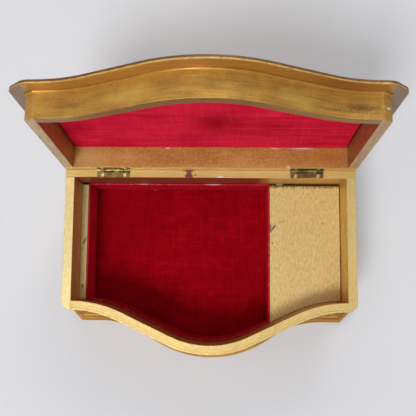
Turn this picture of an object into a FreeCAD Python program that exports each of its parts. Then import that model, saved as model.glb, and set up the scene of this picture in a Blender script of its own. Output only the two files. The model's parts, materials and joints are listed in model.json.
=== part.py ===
"""Serpentine-front musical jewellery box, drawn with its lid open, in millimetres, +Z up."""
import FreeCAD, Part
import math
import os

import Sketcher
from FreeCAD import Placement, Rotation, Vector

doc = FreeCAD.newDocument("jewellery_box")

# driving sizes, in mm or degrees
SIZES = {
    # plan of the case: a flat back and a front with a bow between two sweeps
    "body_width": 222.0,
    "corner_depth": 107.6,
    "bow_depth": 32.2,
    "bow_radius": 76.0,
    "sweep_radius": 85.0,
    "end_flat": 6.7,
    "corner_chamfer": 5.2,
    "corner_side": 3.2,
    "wall": 6.8,
    # heights of the case above the table
    "rim_height": 79.0,
    "plinth_height": 14.0,
    "plinth_band": 4.6,
    "plinth_overhang": 12.7,
    "plinth_bow": 30.6,
    "plinth_flat": 16.5,
    "plinth_neck": 1.6,
    "plinth_ledge": 4.0,
    "bottom_board": 4.0,
    "fit_gap": 0.3,
    # tray, cover panel and the wood around them
    "ledge_drop": 27.6,
    "tray_floor": 2.6,
    "lining": 1.3,
    # from the inner faces of the end walls to the ends of the tray
    "tray_left": 5.4,
    "tray_right": 56.5,
    "spacer_gap": 1.6,
    "divider": 4.0,
    "cover_board": 4.0,
    "cover_gap": 1.5,
    "cleat_width": 6.0,
    "cleat_height": 8.0,
    "brad_radius": 0.55,
    "brad_length": 9.0,
    # lid
    "lid_angle": 96.6,
    "lid_gap": 0.3,
    "lid_rail": 18.0,
    "lid_board": 3.0,
    "lid_overhang": 10.4,
    "lid_round": 0.8,
    "lid_lining_depth": 16.0,
    "lid_lining": 1.7,
    "bead_height": 1.5,
    "bead_width": 1.3,
    # butt hinges, each set in from its end of the case
    "hinge_offset": 37.0,
    "hinge_width": 25.0,
    "hinge_leaf": 1.0,
    "hinge_depth": 5.6,
    "hinge_inset": 1.0,
    "knuckle_end": 5.0,
    "knuckle_radius": 1.7,
    "knuckle_gap": 0.3,
    "hinge_pin": 0.8,
    "running_gap": 0.06,
    "bevel_angle": 53.0,
    "screw_radius": 0.8,
    "screw_head": 1.45,
    "screw_length": 6.0,
    "screw_spread": 17.0,
    # musical movement, placed from the inner face of the right wall and from the back
    "movement_across": 26.2,
    "movement_depth": 56.0,
    "plate": 2.0,
    "plate_boss": 2.0,
    "arbor_radius": 2.0,
    "barrel_radius": 10.8,
    "barrel_height": 9.6,
    "barrel_shell": 0.8,
    "drum_radius": 6.2,
    "drum_length": 18.8,
    "drum_pin": 0.45,
    "comb_thickness": 0.9,
    "comb_length": 13.5,
    "pivot_radius": 1.0,
    "fan_radius": 4.2,
    "key_lobe": 5.0,
    "key_thickness": 1.8,
}
sheet = doc.addObject("Spreadsheet::Sheet", "Sizes")
for row, (alias, value) in enumerate(SIZES.items(), 1):
    sheet.set(f"A{row}", alias)
    sheet.set(f"B{row}", str(value))
    sheet.setAlias(f"B{row}", alias)
doc.recompute()


def size(alias):
    return float(getattr(sheet, alias))


# values that follow from the driving sizes
half = size("body_width") / 2
wall = size("wall")
gap = size("fit_gap")
run = size("running_gap")
lid_turn = math.radians(size("lid_angle"))

rim = size("rim_height")
board_low = size("plinth_height")
board_top = board_low + size("bottom_board")
ledge = rim - size("ledge_drop")
cover_low = ledge - size("cover_board")
lid_low = rim + size("lid_gap")
lid_top = lid_low + size("lid_rail") + size("lid_board")
axis_z = rim + size("lid_gap") / 2

# the open box is centred over its footprint: back_face is the Y of the case's back
front_reach = size("corner_depth") + size("bow_depth")
plinth_reach = size("corner_depth") + size("plinth_bow") + size("plinth_overhang")
lid_round = size("lid_round")
lid_front = -(front_reach + size("lid_overhang") - lid_round) + size("hinge_inset")
lid_back_reach = (
    lid_front * math.cos(lid_turn)
    + (lid_top - axis_z - lid_round) * math.sin(lid_turn)
    + lid_round
)
back_face = (plinth_reach + size("hinge_inset") - lid_back_reach) / 2
axis_y = back_face - size("hinge_inset")
front_flat = back_face - size("corner_depth")

nodes = []


# plan curves of the serpentine front


def line(start, end):
    return ("line", start, end)


def arc(centre, radius, start, end, turns_left, text):
    return ("arc", start, end, centre, radius, turns_left, text)


# share of their largest radii that leaves a short straight between bow and sweep
SHORT_STRAIGHT = 0.999


class FrontCurve:
    """Serpentine front: a bow between two sweeps, which run into flats at the corners."""

    def __init__(self, bow_depth, end_flat):
        self.bow_depth = bow_depth
        self.run = half - end_flat
        radii = size("bow_radius") + size("sweep_radius")
        # bow and sweep round the slope as fillets do, so a short front limits both alike
        largest = (self.run**2 + bow_depth**2) / (2 * bow_depth)
        self.fit = min(1.0, SHORT_STRAIGHT * largest / radii)
        self.bow_radius = size("bow_radius") * self.fit
        self.sweep_radius = size("sweep_radius") * self.fit
        radii *= self.fit
        tangent = math.sqrt(self.run**2 - 2 * radii * bow_depth + bow_depth**2)
        lean = math.atan2(bow_depth - radii, self.run)
        self.slope = lean - math.atan2(-radii, tangent)
        self.bow_centre = front_flat - bow_depth + self.bow_radius
        self.sweep_centre = front_flat - self.sweep_radius

    def ends(self, offset):
        """X of the ends of the bow and of the sweep, moved outward by offset."""
        bow_end = (self.bow_radius + offset) * math.sin(self.slope)
        sweep_end = self.run - (self.sweep_radius - offset) * math.sin(self.slope)
        return bow_end, sweep_end

    def y(self, x, offset):
        """Y of the curve, moved outward by offset, at the given X."""
        x = abs(x)
        bow_radius = self.bow_radius + offset
        sweep_radius = self.sweep_radius - offset
        bow_end, sweep_end = self.ends(offset)
        if x <= bow_end:
            return self.bow_centre - math.sqrt(bow_radius**2 - x**2)
        if x <= sweep_end:
            drop = bow_radius * math.cos(self.slope)
            return self.bow_centre - drop + (x - bow_end) * math.tan(self.slope)
        if x <= self.run:
            return self.sweep_centre + math.sqrt(sweep_radius**2 - (self.run - x) ** 2)
        return front_flat - offset

    def path(self, offset, x_from, x_to, text):
        """Segments of the curve from left to right between two X values."""
        bow_end, sweep_end = self.ends(offset)
        bow_text = f"Sizes.bow_radius * {self.fit} + {text}"
        sweep_text = f"Sizes.sweep_radius * {self.fit} - ({text})"
        stops = [-self.run, -sweep_end, -bow_end, bow_end, sweep_end, self.run]
        stops = [x_from] + [x for x in stops if x_from < x < x_to] + [x_to]
        path = []
        for left, right in zip(stops, stops[1:]):
            start = (left, self.y(left, offset))
            end = (right, self.y(right, offset))
            middle = abs(left + right) / 2
            if middle < bow_end:
                centre = (0.0, self.bow_centre)
                radius = self.bow_radius + offset
                path.append(arc(centre, radius, start, end, True, bow_text))
            elif sweep_end < middle < self.run:
                centre = (math.copysign(self.run, left + right), self.sweep_centre)
                radius = self.sweep_radius - offset
                path.append(arc(centre, radius, start, end, False, sweep_text))
            else:
                path.append(line(start, end))
        return path


case_curve = FrontCurve(size("bow_depth"), size("end_flat"))


def backward(path):
    turned = []
    for kind, start, end, *rest in reversed(path):
        if kind == "arc":
            centre, radius, turns_left, text = rest
            turned.append(arc(centre, radius, end, start, not turns_left, text))
        else:
            turned.append(line(end, start))
    return turned


def closed(*pieces):
    """Joins paths and single points into one closed outline."""
    path = []
    pen = None
    for piece in pieces:
        segments = piece if isinstance(piece, list) else [line(piece, piece)]
        first = segments[0][1]
        if pen and math.dist(pen, first) > 1e-6:
            path.append(line(pen, first))
        if isinstance(piece, list):
            path.extend(segments)
        pen = segments[-1][2]
    start = path[0][1]
    if math.dist(pen, start) > 1e-6:
        path.append(line(pen, start))
    return path


def polygon(points):
    return [line(a, b) for a, b in zip(points, points[1:] + points[:1])]


def rectangle(x_from, y_from, x_to, y_to):
    return polygon([(x_from, y_from), (x_to, y_from), (x_to, y_to), (x_from, y_to)])


def cant_legs(offset):
    """Legs of the canted front corner across and along the side; they grow with the offset."""
    return size("corner_chamfer") + 0.58 * offset, size("corner_side") + 0.74 * offset


def case_outline(offset, text, curve=case_curve):
    """Whole plan of the case with its canted front corners, moved outward by offset."""
    side = half + offset
    across, along = cant_legs(offset)
    front = curve.path(offset, across - side, side - across, text)
    corner = front_flat - offset + along
    return closed(
        front,
        (side, corner),
        (side, back_face),
        (-side, back_face),
        (-side, corner),
    )


def inner_outline(inset, x_from, x_to, back_inset, text):
    """Plan of a piece inside the case whose front edge follows the front wall."""
    front = case_curve.path(-inset, x_from, x_to, text)
    rear = back_face - back_inset
    return closed(front, (x_to, rear), (x_from, rear))


def front_strip(outset, inset, x_end, outer_text, inner_text, x_start=None):
    """Plan of a strip along the front between two offsets."""
    x_start = -x_end if x_start is None else x_start
    outer = case_curve.path(outset, x_start, x_end, outer_text)
    inner = backward(case_curve.path(-inset, x_start, x_end, inner_text))
    return closed(outer, inner)


# document objects


def keep(label, thing):
    """Names a finished piece and puts it on the list of files to write."""
    thing.Label = label
    nodes.append((label, thing))
    return thing


def new_body(label):
    return keep(label, doc.addObject("PartDesign::Body", label))


def new_sketch(body, name, path, base, plane="XY_Plane"):
    """A sketch in a body at a height bound to the sheet, with bound radii."""
    sketch = body.newObject("Sketcher::SketchObject", f"{body.Name}_{name}")
    support = next(f for f in body.Origin.OriginFeatures if f.Role == plane)
    sketch.AttachmentSupport = [(support, "")]
    sketch.MapMode = "FlatFace"
    sketch.setExpression("AttachmentOffset.Base.z", base)
    ends = []
    radii = []
    for kind, start, end, *rest in path:
        if kind == "line":
            index = sketch.addGeometry(Part.LineSegment(Vector(*start), Vector(*end)), False)
            ends.append((index, 1, 2))
            continue
        centre, radius, turns_left, text = rest
        circle = Part.Circle(Vector(*centre), Vector(0, 0, 1), radius)
        angles = [math.atan2(p[1] - centre[1], p[0] - centre[0]) for p in (start, end)]
        if not turns_left:
            angles.reverse()
        index = sketch.addGeometry(Part.ArcOfCircle(circle, *angles), False)
        ends.append((index, 1, 2) if turns_left else (index, 2, 1))
        radii.append((index, radius, text))
    for (one, _, last), (two, first, _) in zip(ends, ends[1:] + ends[:1]):
        sketch.addConstraint(Sketcher.Constraint("Coincident", one, last, two, first))
    for index, radius, text in radii:
        number = sketch.addConstraint(Sketcher.Constraint("Radius", index, radius))
        sketch.renameConstraint(number, f"curve_{index}")
        sketch.setExpression(f"Constraints.curve_{index}", text)
    return sketch


def circle_sketch(body, name, spots, radius, base, plane="XY_Plane"):
    """A sketch of equal circles whose radius is bound to the sheet."""
    sketch = body.newObject("Sketcher::SketchObject", f"{body.Name}_{name}")
    support = next(f for f in body.Origin.OriginFeatures if f.Role == plane)
    sketch.AttachmentSupport = [(support, "")]
    sketch.MapMode = "FlatFace"
    sketch.setExpression("AttachmentOffset.Base.z", base)
    for spot in spots:
        circle = Part.Circle(Vector(*spot), Vector(0, 0, 1), 1.0)
        index = sketch.addGeometry(circle, False)
        number = sketch.addConstraint(Sketcher.Constraint("Radius", index, 1.0))
        sketch.renameConstraint(number, f"round_{index}")
        sketch.setExpression(f"Constraints.round_{index}", radius)
        sketch.addConstraint(Sketcher.Constraint("DistanceX", index, 3, spot[0]))
        sketch.addConstraint(Sketcher.Constraint("DistanceY", index, 3, spot[1]))
    return sketch


def pad(body, sketch, length, backwards=False):
    feature = body.newObject("PartDesign::Pad", f"{sketch.Name}_pad")
    feature.Profile = sketch
    feature.setExpression("Length", length)
    feature.Reversed = backwards
    doc.recompute()
    return feature


def pocket(body, sketch, length, backwards=False):
    """Cuts below the sketch, or above it when backwards, and checks that it cut."""
    before = body.Shape.Volume
    feature = body.newObject("PartDesign::Pocket", f"{sketch.Name}_cut")
    feature.Profile = sketch
    feature.setExpression("Length", length)
    feature.Reversed = backwards
    doc.recompute()
    if body.Shape.Volume >= before - 1e-6:
        raise ValueError(f"{sketch.Name} cuts nothing")
    return feature


def prism(label, path, base, length):
    """A board cut to a plan outline."""
    body = new_body(label)
    pad(body, new_sketch(body, "plan", path, base), length)
    return body


def block(name, corner, *lengths):
    """A box with its least corner at a point and its sides bound to the sheet."""
    box = doc.addObject("Part::Box", name)
    for side, text in zip(("Length", "Width", "Height"), lengths):
        box.setExpression(side, text)
    box.Placement = Placement(Vector(*corner), Rotation())
    return box


def rod(name, base, axis, radius, length):
    """A round bar from a point along an axis, with bound radius and length."""
    bar = doc.addObject("Part::Cylinder", name)
    bar.setExpression("Radius", radius)
    bar.setExpression("Height", length)
    bar.Placement = Placement(Vector(*base), Rotation(Vector(0, 0, 1), Vector(*axis)))
    return bar


def fuse(name, *pieces):
    joined = doc.addObject("Part::MultiFuse", name)
    joined.Shapes = list(pieces)
    return joined


def cut(name, base, *tools):
    result = doc.addObject("Part::Cut", name)
    result.Base = base
    result.Tool = tools[0] if len(tools) == 1 else fuse(f"{name}_tools", *tools)
    return result


def group(label, *pieces):
    """Several equal pieces that share one node."""
    whole = doc.addObject("Part::Compound", label)
    whole.Links = list(pieces)
    return keep(label, whole)


def solid(label, shape):
    thing = doc.addObject("Part::Feature", label)
    thing.Shape = shape
    return keep(label, thing)


X_WAY = (1, 0, 0)
Y_WAY = (0, 1, 0)
UP = (0, 0, 1)
DOWN = (0, 0, -1)

# plinth: a band at the table, a cove above it and a neck under the walls
plinth = new_body("plinth")
plinth_curve = FrontCurve(size("plinth_bow"), size("plinth_flat"))
band_path = case_outline(size("plinth_overhang"), "Sizes.plinth_overhang", plinth_curve)
band = pad(plinth, new_sketch(plinth, "band", band_path, "0 mm"), "Sizes.plinth_band")
cove_low = size("plinth_band")
cove_run = size("plinth_overhang") - size("plinth_neck") - 3.4
cove_rise = size("plinth_height") - cove_low - 1.4
sections = []
for step in range(6):
    turn = math.pi / 2 * step / 5
    offset = size("plinth_neck") + 0.8 + cove_run * (1 - math.sin(turn))
    height = cove_low + cove_rise * (1 - math.cos(turn))
    share = 1 - math.sin(turn)
    cove_curve = FrontCurve(
        size("bow_depth") + share * (size("plinth_bow") - size("bow_depth")),
        size("end_flat") + share * (size("plinth_flat") - size("end_flat")),
    )
    cove_path = case_outline(offset, f"{offset}", cove_curve)
    sections.append(new_sketch(plinth, f"cove_{step}", cove_path, f"{height} mm"))
cove = plinth.newObject("PartDesign::AdditiveLoft", "plinth_cove")
cove.Profile = sections[0]
cove.Sections = sections[1:]
cove.Ruled = True
doc.recompute()
neck_path = case_outline(size("plinth_neck"), "Sizes.plinth_neck")
neck = new_sketch(plinth, "neck", neck_path, "Sizes.plinth_height")
pad(plinth, neck, "1.4 mm", backwards=True)
hollow = wall + size("plinth_ledge")
hollow_path = inner_outline(
    hollow, hollow - half, half - hollow, hollow, "-(Sizes.wall + Sizes.plinth_ledge)"
)
pocket(
    plinth,
    new_sketch(plinth, "hollow", hollow_path, "Sizes.plinth_height"),
    "Sizes.plinth_height",
)

# walls of the case
WALL_HEIGHT = "Sizes.rim_height - Sizes.plinth_height"
prism(
    "front_wall",
    front_strip(0.0, wall, half - wall, "0", "-Sizes.wall"),
    "Sizes.plinth_height",
    WALL_HEIGHT,
)
cant, cant_side = cant_legs(0.0)
for label, side in (("left_wall", -1), ("right_wall", 1)):
    corner_plan = [
        (side * half, back_face - wall),
        (side * half, front_flat + cant_side),
        (side * (half - cant), front_flat),
        (side * (half - wall), front_flat),
        (side * (half - wall), back_face - wall),
    ]
    prism(label, polygon(corner_plan), "Sizes.plinth_height", WALL_HEIGHT)

# hinge places: knuckles 1 and 3 belong to the case, 2 and 4 to the lid
hinge_x = half - size("hinge_offset")
hinge_left = [side * hinge_x - size("hinge_width") / 2 for side in (-1, 1)]
screw_places = [
    side * hinge_x + end * size("screw_spread") / 2
    for side in (-1, 1)
    for end in (-1, 1)
]
screw_y = axis_y - (size("hinge_depth") + size("knuckle_radius") + gap) / 2
bevel = math.tan(math.radians(size("bevel_angle")))


def hinge_tools(name, level, way):
    """Mortises, knuckle grooves and screw holes for one rail of a hinged pair."""
    tools = []
    low = level - size("hinge_leaf") if way < 0 else level
    for number, left in enumerate(hinge_left):
        corner = (left, axis_y - size("hinge_depth"), low)
        tools.append(
            block(
                f"{name}_mortise_{number}",
                corner,
                "Sizes.hinge_width",
                "Sizes.hinge_depth + Sizes.hinge_inset + 1",
                "Sizes.hinge_leaf",
            )
        )
        tools.append(
            rod(
                f"{name}_groove_{number}",
                (left, axis_y, axis_z),
                X_WAY,
                "Sizes.knuckle_radius + Sizes.knuckle_gap",
                "Sizes.hinge_width",
            )
        )
    for number, x in enumerate(screw_places):
        tools.append(
            rod(
                f"{name}_hole_{number}",
                (x, screw_y, level),
                UP if way > 0 else DOWN,
                "Sizes.screw_radius",
                "Sizes.screw_length",
            )
        )
    return tools


def bevelled_rail(name, low, high, level, way, length):
    """A back rail whose outer edge at the hinge is bevelled so that the lid can stand open."""
    body = doc.addObject("PartDesign::Body", name)
    depth = size("hinge_inset") * bevel
    inner = back_face - wall
    far = high if way > 0 else low
    profile = [
        (inner, level),
        (axis_y, level),
        (back_face, level + way * depth),
        (back_face, far),
        (inner, far),
    ]
    sketch = new_sketch(body, "section", polygon(profile), "-Sizes.body_width / 2", "YZ_Plane")
    pad(body, sketch, length)
    return body


rear = bevelled_rail("back_wall_blank", board_low, rim, rim, -1, "Sizes.body_width")
keep("back_wall", cut("back_wall", rear, *hinge_tools("case", rim, -1)))

# bottom board with the holes for the winding arbor and the movement screws
inside = half - wall - gap
bottom_path = inner_outline(
    wall + gap, -inside, inside, wall + gap, "-(Sizes.wall + Sizes.fit_gap)"
)
bottom = prism("bottom_board", bottom_path, "Sizes.plinth_height", "Sizes.bottom_board")
arbor_x = half - wall - size("movement_across")
arbor_y = back_face - size("movement_depth")
screw_spots = [
    (arbor_x - 21.5, arbor_y - 8.0),
    (arbor_x + 19.0, arbor_y - 8.0),
    (arbor_x + 19.0, arbor_y + 39.0),
]
pocket(
    bottom,
    circle_sketch(
        bottom,
        "arbor",
        [(arbor_x, arbor_y)],
        "Sizes.arbor_radius + 2",
        "Sizes.plinth_height + Sizes.bottom_board",
    ),
    "Sizes.bottom_board",
)
pocket(
    bottom,
    circle_sketch(
        bottom, "screws", screw_spots, "1.5 mm", "Sizes.plinth_height + Sizes.bottom_board"
    ),
    "Sizes.bottom_board",
)

# velvet tray
BOARD_TOP = "Sizes.plinth_height + Sizes.bottom_board"
LEDGE = "Sizes.rim_height - Sizes.ledge_drop"
LINER = f"{LEDGE} - ({BOARD_TOP})"
lining = size("lining")
tray_left = wall + size("tray_left") - half
tray_right = half - wall - size("tray_right")
tray_rear = back_face - wall - gap
tray_inset = wall + gap + lining
floor_path = inner_outline(
    tray_inset + gap,
    tray_left + lining + gap,
    tray_right - lining - gap,
    tray_inset + gap,
    "-(Sizes.wall + Sizes.lining + 2 * Sizes.fit_gap)",
)
prism("tray_floor", floor_path, BOARD_TOP, "Sizes.tray_floor")
liner_path = front_strip(
    -(wall + gap),
    tray_inset,
    tray_right - lining - gap,
    "-(Sizes.wall + Sizes.fit_gap)",
    "-(Sizes.wall + Sizes.fit_gap + Sizes.lining)",
    tray_left + lining + gap,
)
prism("tray_front_liner", liner_path, BOARD_TOP, LINER)
for label, edge in (("tray_left_liner", tray_left), ("tray_right_liner", tray_right - lining)):
    path = inner_outline(
        wall + gap, edge, edge + lining, wall + gap, "-(Sizes.wall + Sizes.fit_gap)"
    )
    prism(label, path, BOARD_TOP, LINER)
rear_corner = (tray_left + lining + gap, tray_rear - lining, board_top)
TRAY_SPAN = "Sizes.body_width - 2 * Sizes.wall - Sizes.tray_left - Sizes.tray_right"
REAR_SPAN = f"{TRAY_SPAN} - 2 * Sizes.lining - 2 * Sizes.fit_gap"
keep("tray_back_liner", block("tray_back_liner", rear_corner, REAR_SPAN, "Sizes.lining", LINER))

# spacer lath at the left, divider and cleat under the cover panel at the right
spacer_left = -half + wall + gap / 2
spacer_front = front_flat + wall + gap
brad_spots = [
    (tray_left - 2.6, front_flat + 17.5, ledge),
    (tray_right + 2.1, front_flat + 52.6, ledge),
]
spacer = block(
    "spacer_blank",
    (spacer_left, spacer_front, board_top),
    "Sizes.tray_left - Sizes.fit_gap",
    "Sizes.corner_depth - 2 * Sizes.wall - Sizes.fit_gap - Sizes.spacer_gap",
    LINER,
)


def brad(name, spot):
    low = (spot[0], spot[1], spot[2] - size("brad_length"))
    return rod(name, low, UP, "Sizes.brad_radius", "Sizes.brad_length")


keep("tray_spacer", cut("tray_spacer", spacer, brad("spacer_brad_hole", brad_spots[0])))
divider_path = inner_outline(
    wall + gap,
    tray_right + gap / 2,
    tray_right + size("divider"),
    wall + gap,
    "-(Sizes.wall + Sizes.fit_gap)",
)
divider_body = doc.addObject("PartDesign::Body", "divider_blank")
pad(
    divider_body,
    new_sketch(divider_body, "plan", divider_path, BOARD_TOP),
    f"{LINER} - Sizes.cover_board",
)
divider = cut("movement_divider", divider_body, brad("divider_brad_hole", brad_spots[1]))
keep("movement_divider", divider)
cleat_corner = (
    half - wall - size("cleat_width"),
    front_flat + wall + 6,
    cover_low - size("cleat_height"),
)
cleat = block(
    "panel_cleat",
    cleat_corner,
    "Sizes.cleat_width",
    "Sizes.corner_depth - 2 * Sizes.wall - 18",
    "Sizes.cleat_height",
)
keep("panel_cleat", cleat)
cover_path = inner_outline(
    wall + gap,
    tray_right + gap / 2,
    half - wall - 0.6,
    wall + size("cover_gap"),
    "-(Sizes.wall + Sizes.fit_gap)",
)
cover_body = doc.addObject("PartDesign::Body", "cover_blank")
pad(
    cover_body,
    new_sketch(cover_body, "plan", cover_path, f"{LEDGE} - Sizes.cover_board"),
    "Sizes.cover_board",
)
cover = cut("movement_cover", cover_body, brad("cover_brad_hole", brad_spots[1]))
keep("movement_cover", cover)
group("brads", brad("brad_left", brad_spots[0]), brad("brad_right", brad_spots[1]))

# lid, drawn shut and then turned open about the hinge axis
LID_LOW = "Sizes.rim_height + Sizes.lid_gap"
prism(
    "lid_front_rail",
    front_strip(0.0, wall, half - wall, "0", "-Sizes.wall"),
    LID_LOW,
    "Sizes.lid_rail",
)
for label, side in (("lid_left_rail", -1), ("lid_right_rail", 1)):
    rail_plan = [
        (side * half, back_face - wall),
        (side * half, front_flat + cant_side),
        (side * (half - cant), front_flat),
        (side * (half - wall), front_flat),
        (side * (half - wall), back_face - wall),
    ]
    prism(label, polygon(rail_plan), LID_LOW, "Sizes.lid_rail")
lid_rear = bevelled_rail(
    "lid_back_blank", lid_low, lid_low + size("lid_rail"), lid_low, 1, "Sizes.body_width"
)
keep("lid_back_rail", cut("lid_back_rail", lid_rear, *hinge_tools("lid", lid_low, 1)))
lid_board = prism(
    "lid_top_board",
    case_outline(size("lid_overhang"), "Sizes.lid_overhang"),
    f"{LID_LOW} + Sizes.lid_rail",
    "Sizes.lid_board",
)
upper_edges = [
    f"Edge{number}"
    for number, edge in enumerate(lid_board.Shape.Edges, 1)
    if edge.BoundBox.ZMin > lid_top - 1e-4 and edge.CenterOfMass.y < back_face - 1e-3
]
lid_board_pad = lid_board.Tip
rounding = lid_board.newObject("PartDesign::Fillet", "lid_top_board_round")
rounding.Base = (lid_board_pad, upper_edges)
rounding.setExpression("Radius", "Sizes.lid_round")
lid_lining_path = inner_outline(
    wall + gap, -inside, inside, wall + gap, "-(Sizes.wall + Sizes.fit_gap)"
)
prism(
    "lid_lining",
    lid_lining_path,
    f"{LID_LOW} + Sizes.lid_lining_depth",
    "Sizes.lid_lining",
)

# quarter-round bead under the overhang of the lid board, along the front and sides
bead_out = size("bead_width")
side_out = half + bead_out
cant_out, cant_down = cant_legs(bead_out)
bead_path = closed(
    [line((-side_out, back_face), (-side_out, front_flat - bead_out + cant_down))],
    case_curve.path(bead_out, cant_out - side_out, side_out - cant_out, "Sizes.bead_width"),
    (side_out, front_flat - bead_out + cant_down),
    (side_out, back_face),
    (half, back_face),
    (half, front_flat + cant_side),
    backward(case_curve.path(0.0, cant - half, half - cant, "0")),
    (-half, front_flat + cant_side),
    (-half, back_face),
)
bead = prism(
    "lid_bead",
    bead_path,
    f"{LID_LOW} + Sizes.lid_rail - Sizes.bead_height",
    "Sizes.bead_height",
)
bead_low = lid_low + size("lid_rail") - size("bead_height")


def on_bead_edge(edge):
    middle = edge.valueAt((edge.FirstParameter + edge.LastParameter) / 2)
    if edge.BoundBox.ZMax > bead_low + 1e-4 or middle.y > back_face - 1e-3:
        return False
    if abs(middle.x) > half + bead_out / 2:
        return True
    lean = (abs(middle.x) - half + cant) / cant + (front_flat - middle.y) / cant_side
    return middle.y < case_curve.y(middle.x, bead_out / 2) or lean > 0.15


lower_edges = [
    f"Edge{number}"
    for number, edge in enumerate(bead.Shape.Edges, 1)
    if on_bead_edge(edge)
]
bead_pad = bead.Tip
bead_round = bead.newObject("PartDesign::Fillet", "lid_bead_round")
bead_round.Base = (bead_pad, lower_edges)
bead_round.setExpression("Radius", "Sizes.bead_width * 0.85")
doc.recompute()

# hinge leaves: a plate with two of the four knuckles, drawn for a shut lid
KNUCKLE_CLEAR = "Sizes.knuckle_radius + Sizes.fit_gap"
knuckle_end = size("knuckle_end")
knuckle_middle = (size("hinge_width") - 2 * knuckle_end) / 2
knuckle_starts = [
    0.0,
    knuckle_end,
    knuckle_end + knuckle_middle,
    knuckle_end + 2 * knuckle_middle,
]
END_KNUCKLE = "Sizes.knuckle_end - Sizes.knuckle_gap"
MIDDLE_KNUCKLE = "Sizes.hinge_width / 2 - Sizes.knuckle_end - Sizes.knuckle_gap"
KNUCKLES = [END_KNUCKLE, MIDDLE_KNUCKLE, MIDDLE_KNUCKLE, END_KNUCKLE]


def leaf(label, left, owned, low, bore, head_level, way):
    """One leaf of a butt hinge with the knuckles that belong to it."""
    plate = block(
        f"{label}_plate",
        (left, axis_y - size("hinge_depth"), low),
        "Sizes.hinge_width",
        f"Sizes.hinge_depth - ({KNUCKLE_CLEAR})",
        "Sizes.hinge_leaf",
    )
    pieces = [plate]
    for number in owned:
        start = left + knuckle_starts[number] + size("knuckle_gap") / 2
        pieces.append(
            block(
                f"{label}_tab_{number}",
                (start, axis_y - size("knuckle_radius") - 2 * gap, low),
                KNUCKLES[number],
                "Sizes.knuckle_radius + 2 * Sizes.fit_gap",
                "Sizes.hinge_leaf",
            )
        )
        pieces.append(
            rod(
                f"{label}_knuckle_{number}",
                (start, axis_y, axis_z),
                X_WAY,
                "Sizes.knuckle_radius",
                KNUCKLES[number],
            )
        )
    tools = [
        rod(
            f"{label}_bore",
            (left - 1, axis_y, axis_z),
            X_WAY,
            bore,
            "Sizes.hinge_width + 2",
        )
    ]
    middle = left + size("hinge_width") / 2
    for number, x in enumerate(x for x in screw_places if abs(x - middle) < 15):
        tools.append(screw_shape(f"{label}_seat_{number}", (x, screw_y, head_level), way))
    return keep(label, cut(label, fuse(f"{label}_solid", *pieces), *tools))


def screw_shape(name, spot, way):
    """Countersunk head and shank of a wood screw; way is the side that the head faces."""
    head = doc.addObject("Part::Cone", f"{name}_head")
    head.setExpression("Radius1", "Sizes.screw_head")
    head.setExpression("Radius2", "Sizes.screw_radius")
    head.setExpression("Height", "Sizes.hinge_leaf * 0.8")
    into = Rotation(Vector(0, 0, 1), Vector(0, 0, -way))
    head.Placement = Placement(Vector(*spot), into)
    shank = rod(
        f"{name}_shank",
        spot,
        DOWN if way > 0 else UP,
        "Sizes.screw_radius",
        "Sizes.screw_length - 0.5",
    )
    return fuse(name, head, shank)


def slotted_screw(name, spot, way):
    slot = block(
        f"{name}_slot",
        (spot[0] - 2, spot[1] - 0.2, spot[2] - (0.35 if way > 0 else 0)),
        "4 mm",
        "0.4 mm",
        "0.35 mm",
    )
    return cut(name, screw_shape(f"{name}_solid", spot, way), slot)


for label, left in zip(("left", "right"), hinge_left):
    leaf(
        f"hinge_leaf_case_{label}",
        left,
        (0, 2),
        rim - size("hinge_leaf"),
        "Sizes.hinge_pin",
        rim,
        1,
    )
    leaf(
        f"hinge_leaf_lid_{label}",
        left,
        (1, 3),
        lid_low,
        "Sizes.hinge_pin + Sizes.running_gap",
        lid_low,
        -1,
    )
    pin = rod(
        f"hinge_pin_{label}",
        (left, axis_y, axis_z),
        X_WAY,
        "Sizes.hinge_pin",
        "Sizes.hinge_width",
    )
    keep(f"hinge_pin_{label}", pin)
case_screws = [
    slotted_screw(f"case_screw_{number}", (x, screw_y, rim), 1)
    for number, x in enumerate(screw_places)
]
group("hinge_screws_case", *case_screws)
lid_screws = [
    slotted_screw(f"lid_screw_{number}", (x, screw_y, lid_low), -1)
    for number, x in enumerate(screw_places)
]
group("hinge_screws_lid", *lid_screws)

# musical movement, on a plate screwed to the bottom board; the arbor is upright
plate_low = board_top + size("plate_boss")
plate_top = plate_low + size("plate")
PLATE_LOW = f"{BOARD_TOP} + Sizes.plate_boss"
PLATE_TOP = f"{PLATE_LOW} + Sizes.plate"
barrel_low = plate_top + gap
crown_low = barrel_low + size("barrel_height")
CROWN_TEETH = 40
PINION_TEETH = 10
CROWN_MODULE = 0.5
crown_plane = crown_low + 2.0
drum_z = crown_plane + CROWN_MODULE * PINION_TEETH / 2
GEAR_TEETH = 48
LEAF_TEETH = 8
GEAR_MODULE = 0.35
WHEEL_TEETH = 30
wheel_radius = GEAR_MODULE * WHEEL_TEETH / 2
worm_radius = 2.0
wheel_x = arbor_x - GEAR_MODULE * (GEAR_TEETH + LEAF_TEETH) / 2
worm_x = wheel_x - wheel_radius - worm_radius
pinion_at = arbor_y + CROWN_MODULE * CROWN_TEETH / 2
bearing_at = arbor_y + size("barrel_radius") + 0.7
drum_at = bearing_at + 2.1
gear_at = drum_at + size("drum_length") + 0.4
rear_bearing_at = gear_at + 2.2
wheel_at = rear_bearing_at + 2.3
frame_far = wheel_at + 1.9
frame_near = drum_at + size("drum_length") - 2.6
stop_x = worm_x - 5.45

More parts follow.
